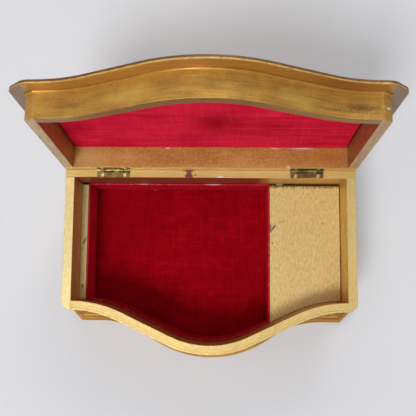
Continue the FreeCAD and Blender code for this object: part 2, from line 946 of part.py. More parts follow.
bedplate = new_body("bedplate")
plate_path = rectangle(arbor_x - 25.6, arbor_y - 12.5, arbor_x + 22.6, frame_far + 3.0)
pad(bedplate, new_sketch(bedplate, "plan", plate_path, PLATE_LOW), "Sizes.plate")
boss_sketch = circle_sketch(bedplate, "boss", screw_spots, "3 mm", BOARD_TOP)
pad(bedplate, boss_sketch, "Sizes.plate_boss")
for name, spots, radius in (
    ("screws", screw_spots, "1.25 mm"),
    ("arbor", [(arbor_x, arbor_y)], "Sizes.arbor_radius + Sizes.running_gap"),
    ("fan", [(worm_x, wheel_at)], "0.5 + Sizes.running_gap"),
    ("stop", [(stop_x, wheel_at)], "Sizes.pivot_radius"),
):
    pocket(
        bedplate,
        circle_sketch(bedplate, name, spots, radius, PLATE_TOP),
        "Sizes.plate + Sizes.plate_boss",
    )
plate_screws = []
for number, (x, y) in enumerate(screw_spots):
    shank = rod(
        f"plate_screw_shank_{number}",
        (x, y, board_low),
        UP,
        "1.25 mm",
        "Sizes.bottom_board + Sizes.plate_boss + Sizes.plate",
    )
    head = rod(f"plate_screw_head_{number}", (x, y, board_low), DOWN, "2.7 mm", "1.5 mm")
    slot = block(
        f"plate_screw_slot_{number}",
        (x - 4, y - 0.3, board_low - 1.5),
        "8 mm",
        "0.6 mm",
        "0.6 mm",
    )
    whole = fuse(f"plate_screw_solid_{number}", shank, head)
    plate_screws.append(cut(f"plate_screw_{number}", whole, slot))
group("movement_screws", *plate_screws)

# winding arbor and key
key_axis = board_low / 2
arbor_low = key_axis - 3.5
arbor_high = crown_low + 3.4
arbor = fuse(
    "winding_arbor",
    rod(
        "arbor_bar",
        (arbor_x, arbor_y, arbor_low),
        UP,
        "Sizes.arbor_radius",
        f"{arbor_high - arbor_low} mm",
    ),
    rod(
        "arbor_collar",
        (arbor_x, arbor_y, crown_low + 1.45 + gap),
        UP,
        "Sizes.arbor_radius + 1.2",
        "1.2 mm",
    ),
)
keep("winding_arbor", arbor)
lobe = size("key_lobe")
hub = rod(
    "key_hub",
    (arbor_x, arbor_y, key_axis - 3.5),
    UP,
    "Sizes.arbor_radius + 1.8",
    "Sizes.plinth_height / 2 + 3.5 - Sizes.fit_gap",
)
wings = []
holes = [
    rod(
        "key_bore",
        (arbor_x, arbor_y, key_axis - 3.5),
        UP,
        "Sizes.arbor_radius",
        "Sizes.plinth_height",
    )
]
for side in (-1, 1):
    centre = (arbor_x + side * lobe * 1.4, arbor_y - size("key_thickness") / 2, key_axis)
    name = "left" if side < 0 else "right"
    wings.append(rod(f"key_wing_{name}", centre, Y_WAY, "Sizes.key_lobe", "Sizes.key_thickness"))
    holes.append(
        rod(f"key_eye_{name}", centre, Y_WAY, "Sizes.key_lobe * 0.42", "Sizes.key_thickness")
    )
web = block(
    "key_web",
    (arbor_x - lobe * 1.2, arbor_y - size("key_thickness") / 2, key_axis - lobe * 0.6),
    "Sizes.key_lobe * 2.4",
    "Sizes.key_thickness",
    "Sizes.key_lobe * 1.2",
)
key_solid = fuse("key_solid", hub, web, *wings)
keep("winding_key", cut("winding_key", key_solid, *holes))

# spring barrel, its spring and the crown wheel that closes it
centre = (arbor_x, arbor_y, barrel_low)
shell = rod("barrel_shell", centre, UP, "Sizes.barrel_radius", "Sizes.barrel_height")
hollow_rod = rod(
    "barrel_hollow",
    (arbor_x, arbor_y, barrel_low + size("barrel_shell")),
    UP,
    "Sizes.barrel_radius - Sizes.barrel_shell",
    "Sizes.barrel_height",
)
bore = rod(
    "barrel_bore", centre, UP, "Sizes.arbor_radius + Sizes.running_gap", "Sizes.barrel_height"
)
keep("spring_barrel", cut("spring_barrel", shell, hollow_rod, bore))


def spiral_strip(inner, outer, turns, thickness):
    """Flat face of a coiled strip made of half turns about two centres."""
    pitch = (outer - inner) / turns
    edges_out = []
    edges_in = []
    radius = inner
    shift = 0.0
    for number in range(2 * turns):
        middle = Vector(shift, 0, 0)
        start = 0.0 if number % 2 == 0 else math.pi
        for edges, half_strip in ((edges_out, thickness / 2), (edges_in, -thickness / 2)):
            circle = Part.Circle(middle, Vector(0, 0, 1), radius + half_strip)
            edges.append(Part.ArcOfCircle(circle, start, start + math.pi).toShape())
        radius += pitch / 2
        shift += pitch / 2 if number % 2 == 0 else -pitch / 2
    tail = [edges_out[-1].valueAt(edges_out[-1].LastParameter)]
    tail.append(edges_in[-1].valueAt(edges_in[-1].LastParameter))
    nose = [edges_out[0].valueAt(edges_out[0].FirstParameter)]
    nose.append(edges_in[0].valueAt(edges_in[0].FirstParameter))
    ends = [Part.makeLine(*tail), Part.makeLine(*nose)]
    return Part.Face(Part.Wire(Part.__sortEdges__(edges_out + edges_in + ends)))


spring_room = size("barrel_radius") - size("barrel_shell")
spring_face = spiral_strip(size("arbor_radius") + 1.4, spring_room - 0.9, 6, 0.35)
mainspring = spring_face.extrude(Vector(0, 0, size("barrel_height") - 2.2))
mainspring.translate(Vector(arbor_x, arbor_y, barrel_low + size("barrel_shell") + 0.4))
solid("mainspring", mainspring)


def involute(angle):
    return math.tan(angle) - angle


def tooth_outline(teeth, module, slack, phase):
    """Closed face of a spur gear with three points on each flank."""
    pitch = module * teeth / 2
    base = pitch * math.cos(math.radians(20))
    root = pitch - 1.1 * module
    tip = pitch + 0.8 * module
    half_tooth = math.pi / (2 * teeth) - slack / (2 * pitch)

    def spread(radius):
        angle = math.acos(min(1.0, base / max(radius, base)))
        return half_tooth + involute(math.radians(20)) - involute(angle)

    points = []
    for number in range(teeth):
        middle = phase + 2 * math.pi * number / teeth
        flank = [(root, spread(root)), (pitch, spread(pitch)), (tip, spread(tip))]
        turns = [(r, middle - a) for r, a in flank]
        turns += [(r, middle + a) for r, a in reversed(flank)]
        points += [Vector(r * math.cos(a), r * math.sin(a), 0) for r, a in turns]
    return Part.Face(Part.makePolygon(points + points[:1]))


def along_y(shape, x, y, z):
    """Turns a shape drawn along Z to lie along Y and puts it in place."""
    shape.Placement = Placement(Vector(x, y, z), Rotation(Vector(1, 0, 0), -90))
    return shape


def spur_gear(teeth, module, width, bore, slack, phase=0.0):
    gear = tooth_outline(teeth, module, slack, phase).extrude(Vector(0, 0, width))
    return gear.cut(Part.makeCylinder(bore, width))


def crown_gear():
    """Disc with teeth standing on its rim, thin enough to run freely with its pinion."""
    middle = CROWN_MODULE * CROWN_TEETH / 2
    disc = Part.makeCylinder(size("barrel_radius"), 1.45)
    thick = math.pi * CROWN_MODULE / 4 - 0.12
    lean = math.tan(math.radians(20))
    low = 1.3 - 2.0
    top = 0.75 * CROWN_MODULE
    section = [
        (-thick + lean * low, low),
        (thick - lean * low, low),
        (thick - lean * top, top),
        (-thick + lean * top, top),
    ]
    teeth = []
    for number in range(CROWN_TEETH):
        points = [Vector(middle - 0.7, t, 2.0 + z) for t, z in section]
        face = Part.Face(Part.makePolygon(points + points[:1]))
        tooth = face.extrude(Vector(1.4, 0, 0))
        tooth.rotate(Vector(), Vector(0, 0, 1), 90 + 360 * number / CROWN_TEETH)
        teeth.append(tooth)
    whole = disc.multiFuse(teeth)
    return whole.cut(Part.makeCylinder(size("arbor_radius") + run, 4))


crown = crown_gear()
crown.translate(Vector(arbor_x, arbor_y, crown_low))
solid("crown_wheel", crown)

# tune cylinder with its pins, arbor, pinion and gear
pivot = size("pivot_radius")
drum = Part.makeCylinder(size("drum_radius"), size("drum_length"))
TRACKS = 18
PINS_PER_TRACK = 4
track = size("drum_length") / TRACKS
stubs = []
for number in range(TRACKS):
    for beat in range(PINS_PER_TRACK):
        stub = Part.makeBox(
            0.6 + size("drum_pin"), 0.4, 0.4, Vector(size("drum_radius") - 0.6, -0.2, -0.2)
        )
        turn = (number * 137.5 + beat * 90 + 17 * ((number * beat) % 4)) % 360
        stub.rotate(Vector(), Vector(0, 0, 1), turn)
        stub.translate(Vector(0, 0, track * (number + 0.5)))
        stubs.append(stub)
drum = drum.multiFuse(stubs).cut(Part.makeCylinder(pivot, size("drum_length")))
solid("tune_cylinder", along_y(drum, arbor_x, drum_at, drum_z))
cylinder_arbor = rod(
    "cylinder_arbor",
    (arbor_x, pinion_at - 0.8, drum_z),
    Y_WAY,
    "Sizes.pivot_radius",
    f"{rear_bearing_at + 1.6 - pinion_at + 0.8} mm",
)
keep("cylinder_arbor", cylinder_arbor)
pinion = spur_gear(PINION_TEETH, CROWN_MODULE, 1.2, pivot, 0.24)
solid("cylinder_pinion", along_y(pinion, arbor_x, pinion_at - 0.6, drum_z))
gear = spur_gear(GEAR_TEETH, GEAR_MODULE, 1.6, pivot, 0.12)
solid("cylinder_gear", along_y(gear, arbor_x, gear_at, drum_z))


def bearing(label, y, width, hole):
    """Upright bearing plate on the bedplate with a round head about the arbor."""
    body = new_body(label)
    profile = [
        (arbor_x - 5.5, plate_top),
        (arbor_x + 5.5, plate_top),
        (arbor_x + 2.6, drum_z),
        (arbor_x + 2.6, drum_z + 2.6),
        (arbor_x - 2.6, drum_z + 2.6),
        (arbor_x - 2.6, drum_z),
    ]
    sketch = new_sketch(body, "front", polygon(profile), f"{-y} mm", "XZ_Plane")
    pad(body, sketch, width, backwards=True)
    eye = circle_sketch(body, "eye", [(arbor_x, drum_z)], hole, f"{-y} mm", "XZ_Plane")
    pocket(body, eye, width)
    return body


EYE = "Sizes.pivot_radius + Sizes.running_gap"
bearing("cylinder_bearing_front", bearing_at, "1.5 mm", EYE)
bearing("cylinder_bearing_rear", rear_bearing_at, "1.2 mm", EYE)

# tone comb on its base
comb_x = arbor_x + size("drum_radius") + size("drum_pin") + 0.2
comb_low = drum_z - size("comb_thickness") / 2
comb_far = comb_x + size("comb_length")
points = [Vector(comb_far, drum_at, 0), Vector(comb_far, drum_at + size("drum_length"), 0)]
for number in reversed(range(TRACKS)):
    reach = size("comb_length") * (0.42 + 0.26 * number / TRACKS)
    near = drum_at + track * number
    points += [
        Vector(comb_x, near + track - 0.1, 0),
        Vector(comb_x, near + 0.1, 0),
        Vector(comb_x + reach, near + 0.1, 0),
        Vector(comb_x + reach, near - 0.1, 0),
    ]
points = points[:-2]
comb = Part.Face(Part.makePolygon(points + points[:1]))
comb = comb.extrude(Vector(0, 0, size("comb_thickness")))
comb.translate(Vector(0, 0, comb_low))
comb_screw_x = comb_far - 2.0
comb_spots = [drum_at + size("drum_length") * share for share in (0.22, 0.78)]
for y in comb_spots:
    hole = Part.makeCylinder(1.1, 4, Vector(comb_screw_x, y, comb_low - 1))
    comb = comb.cut(hole)
solid("tone_comb", comb)
base_block = block(
    "comb_base_blank",
    (comb_far - 4.0, drum_at, plate_top),
    "4 mm",
    "Sizes.drum_length",
    f"{comb_low - plate_top} mm",
)
base_holes = [
    rod(f"comb_base_hole_{number}", (comb_screw_x, y, comb_low), DOWN, "1.1 mm", "6 mm")
    for number, y in enumerate(comb_spots)
]
keep("comb_base", cut("comb_base", base_block, *base_holes))
comb_screws = []
for number, y in enumerate(comb_spots):
    top = comb_low + size("comb_thickness")
    shank = rod(
        f"comb_screw_shank_{number}",
        (comb_screw_x, y, top),
        DOWN,
        "1.1 mm",
        "Sizes.comb_thickness + 5",
    )
    head = rod(f"comb_screw_head_{number}", (comb_screw_x, y, top), UP, "1.9 mm", "1.2 mm")
    comb_screws.append(fuse(f"comb_screw_{number}", shank, head))
group("comb_screws", *comb_screws)

# governor: pinion and wheel on one arbor, a worm with two blades, and their frame
leaf_gear = spur_gear(LEAF_TEETH, GEAR_MODULE, 2.2, 0.3, 0.12, math.pi / LEAF_TEETH)
spindle_low = frame_near - 0.2
spindle = Part.makeCylinder(0.7, frame_far + 1.2 - spindle_low)
leaf_gear.translate(Vector(0, 0, gear_at - 0.3 - spindle_low))
spindle = spindle.fuse(leaf_gear)
solid("governor_pinion", along_y(spindle, wheel_x, spindle_low, drum_z))
wheel = spur_gear(WHEEL_TEETH, GEAR_MODULE, 1.2, 0.7, 0.16)
solid("governor_wheel", along_y(wheel, wheel_x, wheel_at - 0.6, drum_z))

lead = math.pi * GEAR_MODULE
worm_low = drum_z - 3.5 * lead
thread_half = lead / 4 - 0.07
thread_in = thread_half + 0.5 * math.tan(math.radians(20))
thread_out = thread_half - 0.28 * math.tan(math.radians(20))
helix = Part.makeHelix(lead, 7 * lead, worm_radius)
thread_points = [
    Vector(worm_radius - 0.5, 0, -thread_in),
    Vector(worm_radius + 0.28, 0, -thread_out),
    Vector(worm_radius + 0.28, 0, thread_out),
    Vector(worm_radius - 0.5, 0, thread_in),
]
thread_wire = Part.makePolygon(thread_points + thread_points[:1])
thread = Part.Wire(helix).makePipeShell([thread_wire], True, True)
core = Part.makeCylinder(worm_radius - 0.4, 9.6 * lead, Vector(0, 0, -1.3 * lead))
worm = core.fuse(thread)
worm.translate(Vector(worm_x, wheel_at, worm_low))
fan_low = plate_top + 3.4
shaft_low = plate_low + 0.6
shaft_high = drum_z + 7.4
shaft = Part.makeCylinder(0.5, shaft_high - shaft_low, Vector(worm_x, wheel_at, shaft_low))
collar = Part.makeCylinder(2.0, 1.5, Vector(worm_x, wheel_at, plate_top + 1.4))
solid("governor_worm", worm.fuse(shaft).fuse(collar))
blade = Part.makeBox(
    2 * size("fan_radius"), 0.5, 5.2, Vector(worm_x - size("fan_radius"), wheel_at - 0.25, fan_low)
)
fan_hub = Part.makeCylinder(1.2, 5.2, Vector(worm_x, wheel_at, fan_low))
fan = blade.fuse(fan_hub)
fan = fan.cut(Part.makeCylinder(0.5, 5.2, Vector(worm_x, wheel_at, fan_low)))
solid("governor_fan", fan)

frame_top = drum_z + 6.5
cheeks = []
for name, y in (("near", frame_near), ("far", frame_far)):
    cheeks.append(
        block(
            f"frame_cheek_{name}",
            (wheel_x - 2.6, y, plate_top),
            "5.2 mm",
            "1 mm",
            f"{frame_top + 1.2 - plate_top} mm",
        )
    )
top_plate = block(
    "frame_top",
    (worm_x - 2.4, frame_near, frame_top),
    f"{wheel_x - worm_x + 5.0} mm",
    f"{frame_far + 1.0 - frame_near} mm",
    "1.2 mm",
)
frame_holes = [
    rod(
        "frame_spindle_hole",
        (wheel_x, frame_near - 1, drum_z),
        Y_WAY,
        "0.7 + Sizes.running_gap",
        f"{frame_far + 3 - frame_near} mm",
    ),
    rod(
        "frame_worm_hole",
        (worm_x, wheel_at, frame_top - 1),
        UP,
        "0.5 + Sizes.running_gap",
        "4 mm",
    ),
]
frame_solid = fuse("frame_solid", top_plate, *cheeks)
keep("governor_frame", cut("governor_frame", frame_solid, *frame_holes))

# stop lever: a finger beside the governor's collar and a tab in the slot behind the cover
lever_low = plate_top + 1.6
tab_rear = back_face - wall - 0.35
tab_height = ledge - 0.5 - lever_low
lever_parts = [
    rod("lever_eye", (stop_x, wheel_at, lever_low), UP, "2.2 mm", "0.8 mm"),
    block(
        "lever_arm",
        (stop_x - 1.5, wheel_at, lever_low),
        "3 mm",
        f"{tab_rear - wheel_at} mm",
        "0.8 mm",
    ),
    block(
        "lever_tab",
        (stop_x - 2.4, tab_rear - 0.8, lever_low),
        "5.2 mm",
        "0.8 mm",
        f"{tab_height} mm",
    ),
    block(
        "lever_finger",
        (stop_x, wheel_at - 4.6, lever_low),
        "6.6 mm",
        "2.1 mm",
        "0.8 mm",
    ),
    block("lever_neck", (stop_x - 1.5, wheel_at - 4.6, lever_low), "3 mm", "4.6 mm", "0.8 mm"),
]
lever_hole = rod("lever_hole", (stop_x, wheel_at, lever_low - 1), UP, EYE, "3 mm")
keep("stop_lever", cut("stop_lever", fuse("lever_solid", *lever_parts), lever_hole))
stop_screw = fuse(
    "stop_screw",
    rod("stop_screw_post", (stop_x, wheel_at, plate_low + 0.4), UP, "Sizes.pivot_radius", "4.7 mm"),
    rod("stop_screw_collar", (stop_x, wheel_at, plate_top), UP, "1.9 mm", "1.4 mm"),
    rod("stop_screw_head", (stop_x, wheel_at, lever_low + 1.0), UP, "1.8 mm", "0.8 mm"),
)
keep("stop_screw", stop_screw)

# open the lid
doc.recompute()
hinge = Vector(0, axis_y, axis_z)
opening = Rotation(Vector(-1, 0, 0), size("lid_angle"))
lid_place = Placement(hinge - opening.multVec(hinge), opening)
lid_labels = [
    "lid_front_rail",
    "lid_left_rail",
    "lid_right_rail",
    "lid_back_rail",
    "lid_top_board",
    "lid_lining",
    "lid_bead",
    "hinge_leaf_lid_left",
    "hinge_leaf_lid_right",
    "hinge_screws_lid",
]
for label, thing in nodes:
    if label in lid_labels:
        thing.Placement = lid_place.multiply(thing.Placement)
doc.recompute()

for thing in doc.Objects:
    if "Invalid" in thing.State or "Error" in thing.State:
        raise ValueError(f"{thing.Name} did not build: {thing.State}")
os.makedirs("parts", exist_ok=True)
for label, thing in nodes:
    shape = thing.Shape
    if shape.isNull() or not shape.isValid() or not shape.Solids:
        raise ValueError(f"{label} has no valid solid")
    shape.exportStep(f"parts/{label}.step")
    print(label, len(shape.Solids), round(shape.Volume, 1))
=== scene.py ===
"""Musical jewellery box with a serpentine front: finishes, velvet linings, studio and camera."""

import json
import logging
import math
from dataclasses import dataclass, field, replace
from enum import Enum
from typing import Any, ClassVar, Optional, Union

import bmesh
import bpy
from mathutils import Color, Matrix, Vector, noise

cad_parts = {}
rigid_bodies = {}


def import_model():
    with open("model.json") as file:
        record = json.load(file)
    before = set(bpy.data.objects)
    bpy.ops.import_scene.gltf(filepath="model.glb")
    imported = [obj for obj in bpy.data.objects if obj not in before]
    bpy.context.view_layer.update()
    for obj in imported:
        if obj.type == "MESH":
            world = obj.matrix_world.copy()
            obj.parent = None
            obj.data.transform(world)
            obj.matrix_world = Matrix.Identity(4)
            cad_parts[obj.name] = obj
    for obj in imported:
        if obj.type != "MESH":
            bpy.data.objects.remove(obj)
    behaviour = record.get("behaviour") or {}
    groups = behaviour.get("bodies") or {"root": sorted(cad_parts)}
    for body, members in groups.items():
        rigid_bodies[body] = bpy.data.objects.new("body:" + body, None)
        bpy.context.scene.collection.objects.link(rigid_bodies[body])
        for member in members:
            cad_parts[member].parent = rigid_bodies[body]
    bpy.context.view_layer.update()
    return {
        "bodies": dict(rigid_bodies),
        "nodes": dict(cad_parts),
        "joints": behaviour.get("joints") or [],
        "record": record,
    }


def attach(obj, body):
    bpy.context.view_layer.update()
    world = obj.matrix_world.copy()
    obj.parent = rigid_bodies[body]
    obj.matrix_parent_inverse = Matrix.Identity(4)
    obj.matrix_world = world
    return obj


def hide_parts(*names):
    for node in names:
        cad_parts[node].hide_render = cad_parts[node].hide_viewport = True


LOG = logging.getLogger("jewellery_box")
MM = 0.001
WHITE = 255.0
WHOLE = (0.0, 1.0)
NOWHERE = (0.0, 0.0, 0.0)

# Points nearer than the first are one point, and faces turned less than the second are one face.
MERGED = 0.001 * MM
LEVEL = math.radians(0.5)

# The Mix node has inputs for every kind of value, and these are its colour ones.
MIX_SHARE, MIX_FIRST, MIX_SECOND, MIX_COLOUR = 0, 6, 7, 2

Span = tuple[float, float]
Triple = tuple[float, float, float]
Socket = bpy.types.NodeSocket
Value = Union[float, Triple, Socket, "Tone"]
Outputs = bpy.types.bpy_prop_collection


@dataclass(frozen=True)
class Tone:
    """A colour as it is seen, in steps of 0 to 255."""

    red: float
    green: float
    blue: float

    def linear(self) -> tuple[float, float, float, float]:
        """Returns the colour as the shaders take it."""
        seen = Color((self.red / WHITE, self.green / WHITE, self.blue / WHITE))
        return (*seen.from_srgb_to_scene_linear(), 1.0)


class Way(Enum):
    """Direction in which the grain of a board runs."""

    LENGTH = "length"
    DEPTH = "depth"
    FRONT = "front"


class Home(Enum):
    """The part of the box that a pattern or a piece belongs to, by the name of its body."""

    CASE = "case"
    LID = "lid"

    @classmethod
    def of(cls, node: str) -> "Home":
        """Returns the part that a CAD node belongs to."""
        return cls.LID if node.startswith("lid_") else cls.CASE


class Lie(Enum):
    """How a lined card lies in the box."""

    FLAT = "flat"
    STANDING = "standing"


class Blend(Enum):
    """How one colour is laid on another."""

    OVER = "MIX"
    TINT = "MULTIPLY"


class Cut(Enum):
    """What is rounded off a shape."""

    EDGES = "EDGES"
    POINTS = "VERTICES"


@dataclass(frozen=True)
class BoxForm:
    """Sizes of the box that patterns and pieces share, in millimetres.

    The lid is measured shut, and the photo's rest pose turns it open about the hinge.
    """

    half_width: float = 111.0
    back_face: float = 56.914
    corner_depth: float = 107.6
    bow_depth: float = 32.2
    bow_radius: float = 76.0
    sweep_radius: float = 85.0
    end_flat: float = 6.7
    rim: float = 79.0
    ledge: float = 51.4
    lid_gap: float = 0.3
    lid_rail: float = 18.0
    lid_board: float = 3.0
    lid_card: float = 16.0
    lid_angle: float = 96.6
    hinge_inset: float = 1.0

    @property
    def front_flat(self) -> float:
        """Y of the flats at the front corners."""
        return self.back_face - self.corner_depth

    @property
    def hinge(self) -> Triple:
        """Point on the lid's axis, in metres."""
        return (0.0, (self.back_face - self.hinge_inset) * MM, (self.rim + self.lid_gap / 2) * MM)

    @property
    def lid_under(self) -> float:
        """Height of the underside of the lid's board, shut."""
        return self.rim + self.lid_gap + self.lid_rail

    @property
    def lid_velvet(self) -> float:
        """Height of the lid's velvet, shut."""
        return self.rim + self.lid_gap + self.lid_card

    def shut(self, home: Home) -> Matrix:
        """Gives the turn from rest in which a part of the box lies along the axes.

        Args:
            home: the case, which lies so already, or the lid.

        Returns:
            The turn, which shuts the lid.
        """
        if home is Home.CASE:
            return Matrix.Identity(4)
        hinge = Matrix.Translation(Vector(self.hinge))
        return hinge @ Matrix.Rotation(math.radians(self.lid_angle), 4, "X") @ hinge.inverted()

    def bow(self, x: float) -> float:
        """How far the front stands before the corner flats.

        Args:
            x: distance from the middle of the front.

        Returns:
            The bow at that place, from nothing to the full depth.
        """
        run = self.half_width - self.end_flat
        radii = self.bow_radius + self.sweep_radius
        straight = math.sqrt(run**2 + self.bow_depth**2 - 2 * radii * self.bow_depth)
        slope = math.atan2(run, radii - self.bow_depth) - math.atan2(straight, radii)
        bow_end = self.bow_radius * math.sin(slope)
        sweep_end = run - self.sweep_radius * math.sin(slope)
        x = abs(x)
        if x <= bow_end:
            return self.bow_depth - self.bow_radius + math.sqrt(self.bow_radius**2 - x**2)
        if x <= sweep_end:
            top = self.bow_depth - self.bow_radius * (1 - math.cos(slope))
            return top - (x - bow_end) * math.tan(slope)
        if x <= run:
            return self.sweep_radius - math.sqrt(self.sweep_radius**2 - (run - x) ** 2)
        return 0.0


FORM = BoxForm()


@dataclass(frozen=True)
class Cloud:
    """A cloudy pattern: clouds to the metre, detail, roughness and the span that is shown."""

    scale: float
    detail: float
    rough: float
    shown: Span


@dataclass(frozen=True)
class Mark:
    """A worn, stained or chipped place on a surface.

    Places and sizes are in millimetres, in the axes of the case or of the shut lid.
    """

    centre: Triple
    size: Triple
    tone: Tone
    strength: float = 1.0
    soft: float = 0.6
    ragged: float = 0.6
    turn: float = 0.0


class Graph:
    """Adds shader nodes to one tree and links them."""

    def __init__(self, tree: bpy.types.NodeTree) -> None:
        """Keeps the node tree of a material or of a group."""
        self.tree = tree

    def feed(self, socket: Socket, value: Value) -> None:
        """Sets a socket to a number or colour, or links it.

        Args:
            socket: the input to feed.
            value: a number, a triple, a tone or another node's output.
        """
        if isinstance(value, bpy.types.NodeSocket):
            self.tree.links.new(value, socket)
        elif isinstance(value, Tone):
            socket.default_value = value.linear()
        else:
            socket.default_value = value

    def fill(self, node: bpy.types.Node, values: dict[Any, Value]) -> bpy.types.Node:
        """Feeds several inputs of a node.

        Args:
            node: the node.
            values: what is fed, by socket name or number.

        Returns:
            The same node.
        """
        for key, value in values.items():
            self.feed(node.inputs[key], value)
        return node

    def add(self, kind: str, values: dict[Any, Value], **settings: Any) -> bpy.types.Node:
        """Adds a node.

        Args:
            kind: the node's type.
            values: what its inputs are fed, by socket name or number.
            settings: the node's own properties.

        Returns:
            The new node.
        """
        node = self.tree.nodes.new(kind)
        for key, setting in settings.items():
            setattr(node, key, setting)
        return self.fill(node, values)

    def place(self, group: bpy.types.NodeTree, values: dict[Any, Value]) -> Outputs:
        """Returns the outputs of a shared group that is placed in this tree."""
        return self.add("ShaderNodeGroup", values, node_tree=group).outputs

    def math(self, operation: str, first: Value, second: Value = 0.0) -> Socket:
        """Returns the result of a math node on one or two values."""
        return self.add("ShaderNodeMath", {0: first, 1: second}, operation=operation).outputs[0]

    def times(self, first: Value, second: Value) -> Socket:
        """Returns the product of two values."""
        return self.math("MULTIPLY", first, second)

    def plus(self, first: Value, second: Value) -> Socket:
        """Returns the sum of two values."""
        return self.math("ADD", first, second)

    def minus(self, first: Value, second: Value) -> Socket:
        """Returns the first value less the second."""
        return self.math("SUBTRACT", first, second)

    def away(self, value: Value, middle: Value) -> Socket:
        """Returns how far a value lies from another, either way."""
        return self.math("ABSOLUTE", self.minus(value, middle))

    def vector(self, operation: str, first: Value, second: Value) -> Outputs:
        """Returns the outputs of a vector math node."""
        return self.add("ShaderNodeVectorMath", {0: first, 1: second}, operation=operation).outputs

    def stretch(self, vector: Value, by: Value) -> Socket:
        """Returns a vector multiplied axis by axis."""
        return self.vector("MULTIPLY", vector, by)[0]

    def mix(self, share: Value, first: Value, second: Value, blend: Blend = Blend.OVER) -> Socket:
        """Lays one colour on another.

        Args:
            share: how much of the second colour is laid on.
            first: the colour underneath.
            second: the colour that is laid on.
            blend: the way that it is laid on.

        Returns:
            The colour of both.
        """
        values = {MIX_SHARE: share, MIX_FIRST: first, MIX_SECOND: second}
        settings = {"data_type": "RGBA", "blend_type": blend.value}
        return self.add("ShaderNodeMix", values, **settings).outputs[MIX_COLOUR]

    def span(self, value: Value, limits: Span, to: Span = WHOLE, unit: float = 1.0) -> Socket:
        """Maps a value smoothly from one span onto another.

        Args:
            value: what is mapped.
            limits: where the change starts and ends.
            to: what is given there.
            unit: what the limits are measured in.

        Returns:
            The mapped value.
        """
        low, high = limits
        values = {0: value, 1: low * unit, 2: high * unit, 3: to[0], 4: to[1]}
        return self.add("ShaderNodeMapRange", values, interpolation_type="SMOOTHSTEP").outputs[0]

    def noise(self, vector: Value, scale: float, detail: float, rough: float) -> Socket:
        """Returns a noise value."""
        values = {"Vector": vector, "Scale": scale, "Detail": detail, "Roughness": rough}
        return self.add("ShaderNodeTexNoise", values).outputs[0]

    def cloud(self, vector: Value, cloud: Cloud, to: Span = WHOLE) -> Socket:
        """Returns the shown span of a cloudy pattern, mapped onto another."""
        drawn = self.noise(vector, cloud.scale, cloud.detail, cloud.rough)
        return self.span(drawn, cloud.shown, to)

    def parts(self, vector: Value) -> list[Socket]:
        """Returns a vector's three values."""
        return list(self.add("ShaderNodeSeparateXYZ", {0: vector}).outputs)

    def join(self, x: Value, y: Value, z: Value) -> Socket:
        """Returns a vector made of three values."""
        return self.add("ShaderNodeCombineXYZ", {0: x, 1: y, 2: z}).outputs[0]

    def turn(self, vector: Value, angle: Value, axis: str, centre: Triple = NOWHERE) -> Socket:
        """Returns a vector turned about an axis."""
        values = {"Vector": vector, "Center": centre, "Angle": angle}
        return self.add("ShaderNodeVectorRotate", values, rotation_type=axis).outputs[0]

    def bump(
        self, height: Value, strength: float, depth: float, normal: Optional[Socket] = None
    ) -> Socket:
        """Raises a surface by a pattern.

        Args:
            height: the pattern.
            strength: how much of it shows.
            depth: its height in millimetres.
            normal: the normal that it is laid on, if not the surface's own.

        Returns:
            The normal of the raised surface.
        """
        values = {"Strength": strength, "Distance": depth * MM, "Height": height}
        if normal is not None:
            values["Normal"] = normal
        return self.add("ShaderNodeBump", values).outputs[0]


